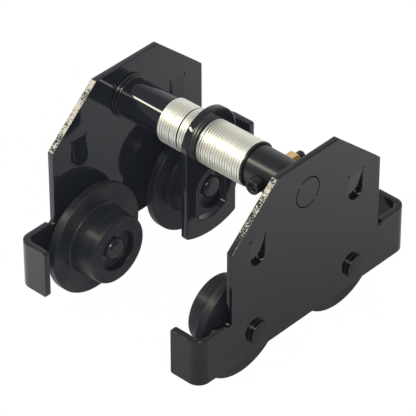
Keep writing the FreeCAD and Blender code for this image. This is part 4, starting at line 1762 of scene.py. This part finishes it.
@dataclass(frozen=True)
class Studio:
    """Pale floor, world and lamps.

    Floor and sky show gloss other levels than the camera. To gloss the floor shows painted shadow and light:
    darker near the part, brighter towards minus X and in a pool at the front left, and dimmer far off.
    The ranges say where a smooth step rises from 0 to 1: rise and front by the sky's direction, the others
    in metres on the floor.
    """

    floor_size: float = 12.0
    floor_colour: Colour = (0.86, 0.86, 0.86)
    camera_share: float = 0.99
    glossy_middle: float = 0.19
    glossy_rise: float = 2.2
    glossy_limit: float = 1.00
    glossy_back: float = 0.15
    glossy_left: float = 0.42
    glossy_far: float = 0.52
    diffuse_sky: float = 0.85
    sky_low: float = 0.85
    sky_high: float = 0.38
    sky_front: float = 0.42
    rise_range: Pair = (0.45, 0.80)
    front_range: Pair = (0.05, 0.55)
    back_range: Pair = (-0.12, -0.04)
    left_range: Pair = (0.02, 0.14)
    near_range: Pair = (0.06, 0.14)
    far_range: Pair = (0.38, 0.60)
    lamps: tuple[Lamp, ...] = (
        Lamp("front_left_softbox", (-0.544, -0.560, 0.625), 1.3, 0.34, 0.14, 25.0, (1.0, 0.95, 0.78)),
        Lamp("upper_front_softbox", (0.450, -0.520, 0.730), 1.4, 0.14, 0.14, 50.0, (1.0, 0.93, 0.80)),
        Lamp("right_strip", (0.620, -0.500, 0.600), 1.4, 0.50, 0.16, 55.0, (1.0, 0.95, 0.84)),
        Lamp("right_fill", (0.85, -0.25, 0.45), 1.6, 0.9, 0.9, 0.9),
    )

    def floor(self) -> None:
        """White floor that keeps the part's shadow and shows white to the camera; to gloss it shows painted
        shadow and light.
        """
        half = self.floor_size / 2
        mesh = bpy.data.meshes.new("studio_floor")
        corners = [(-half, -half, 0), (half, -half, 0), (half, half, 0), (-half, half, 0)]
        mesh.from_pydata(corners, [], [(0, 1, 2, 3)])
        material = bpy.data.materials.new("studio_floor")
        nodes = Nodes(material)
        camera, glossy = nodes.rays()
        matt = nodes.add("ShaderNodeBsdfDiffuse", {}, {"Color": (*self.floor_colour, 1.0)})
        place = nodes.coordinates("Object")
        reach = nodes.number(nodes.add("ShaderNodeVectorMath", {"operation": "LENGTH"}, {0: place}), "Value")
        # Painted shadow and light seen only in gloss: dark under the part and lighter outwards, a lift
        # towards minus X, a pool of light at the front left, and a dimmer level far off.
        across, along, _ = nodes.split(place)
        back = (0.0 - across).step(*self.back_range)
        left = (0.0 - across).step(*self.left_range) * (0.0 - along).step(*self.near_range)
        near = reach * self.glossy_rise + self.glossy_middle + back * self.glossy_back
        near = near.least(self.glossy_limit) + left * self.glossy_left
        dimmed = near + (self.glossy_far - near) * reach.step(*self.far_range)
        level = nodes.add("ShaderNodeCombineXYZ", {}, {0: dimmed, 1: dimmed, 2: dimmed})
        glow = nodes.add(
            "ShaderNodeEmission", {}, {"Color": nodes.colour_mix(glossy, WHITE, level.outputs[0])})
        share = camera * self.camera_share + glossy
        mixed = nodes.add("ShaderNodeMixShader", {}, {0: share, 1: matt.outputs[0], 2: glow.outputs[0]})
        nodes.finish("ShaderNodeOutputMaterial", mixed.outputs[0])
        mesh.materials.append(material)
        linked("studio_floor", mesh)

    def world(self) -> None:
        """White to the camera, and to gloss a sky that darkens upwards."""
        world = bpy.data.worlds.new("studio_world")
        bpy.context.scene.world = world
        nodes = Nodes(world)
        camera, glossy = nodes.rays()
        _, along, up = nodes.split(nodes.coordinates("Generated"))
        rise = up.step(*self.rise_range)
        front = (0.0 - along).step(*self.front_range)
        low = self.sky_low + (self.sky_front - self.sky_low) * front
        sky = low + (self.sky_high - low) * rise
        level = camera + glossy * sky + (1 - camera) * (1 - glossy) * self.diffuse_sky
        background = nodes.add("ShaderNodeBackground", {}, {"Color": (*WHITE, 1.0), "Strength": level})
        nodes.finish("ShaderNodeOutputWorld", background.outputs[0])

    def build(self) -> None:
        """Adds floor, world and lamps, and sets the plain view transform."""
        self.floor()
        self.world()
        target = Vector(PhotoCamera().target) * METRES
        for lamp in self.lamps:
            lamp.build(target)
        bpy.context.scene.view_settings.view_transform = "Standard"


def main() -> None:
    """Builds the sub-assemblies, the studio and the camera."""
    logging.basicConfig(level=logging.INFO, format="%(name)s: %(message)s")
    for side in Side:
        SidePlate(side).build()
        WasherStack(side).build()
        for end in End:
            Wheel(side, end).build()
    LoadShaft().build()
    Hanger().build()
    CrossBolt().build()
    Studio().build()
    PhotoCamera().build()


if __name__ == "__main__":
    main()
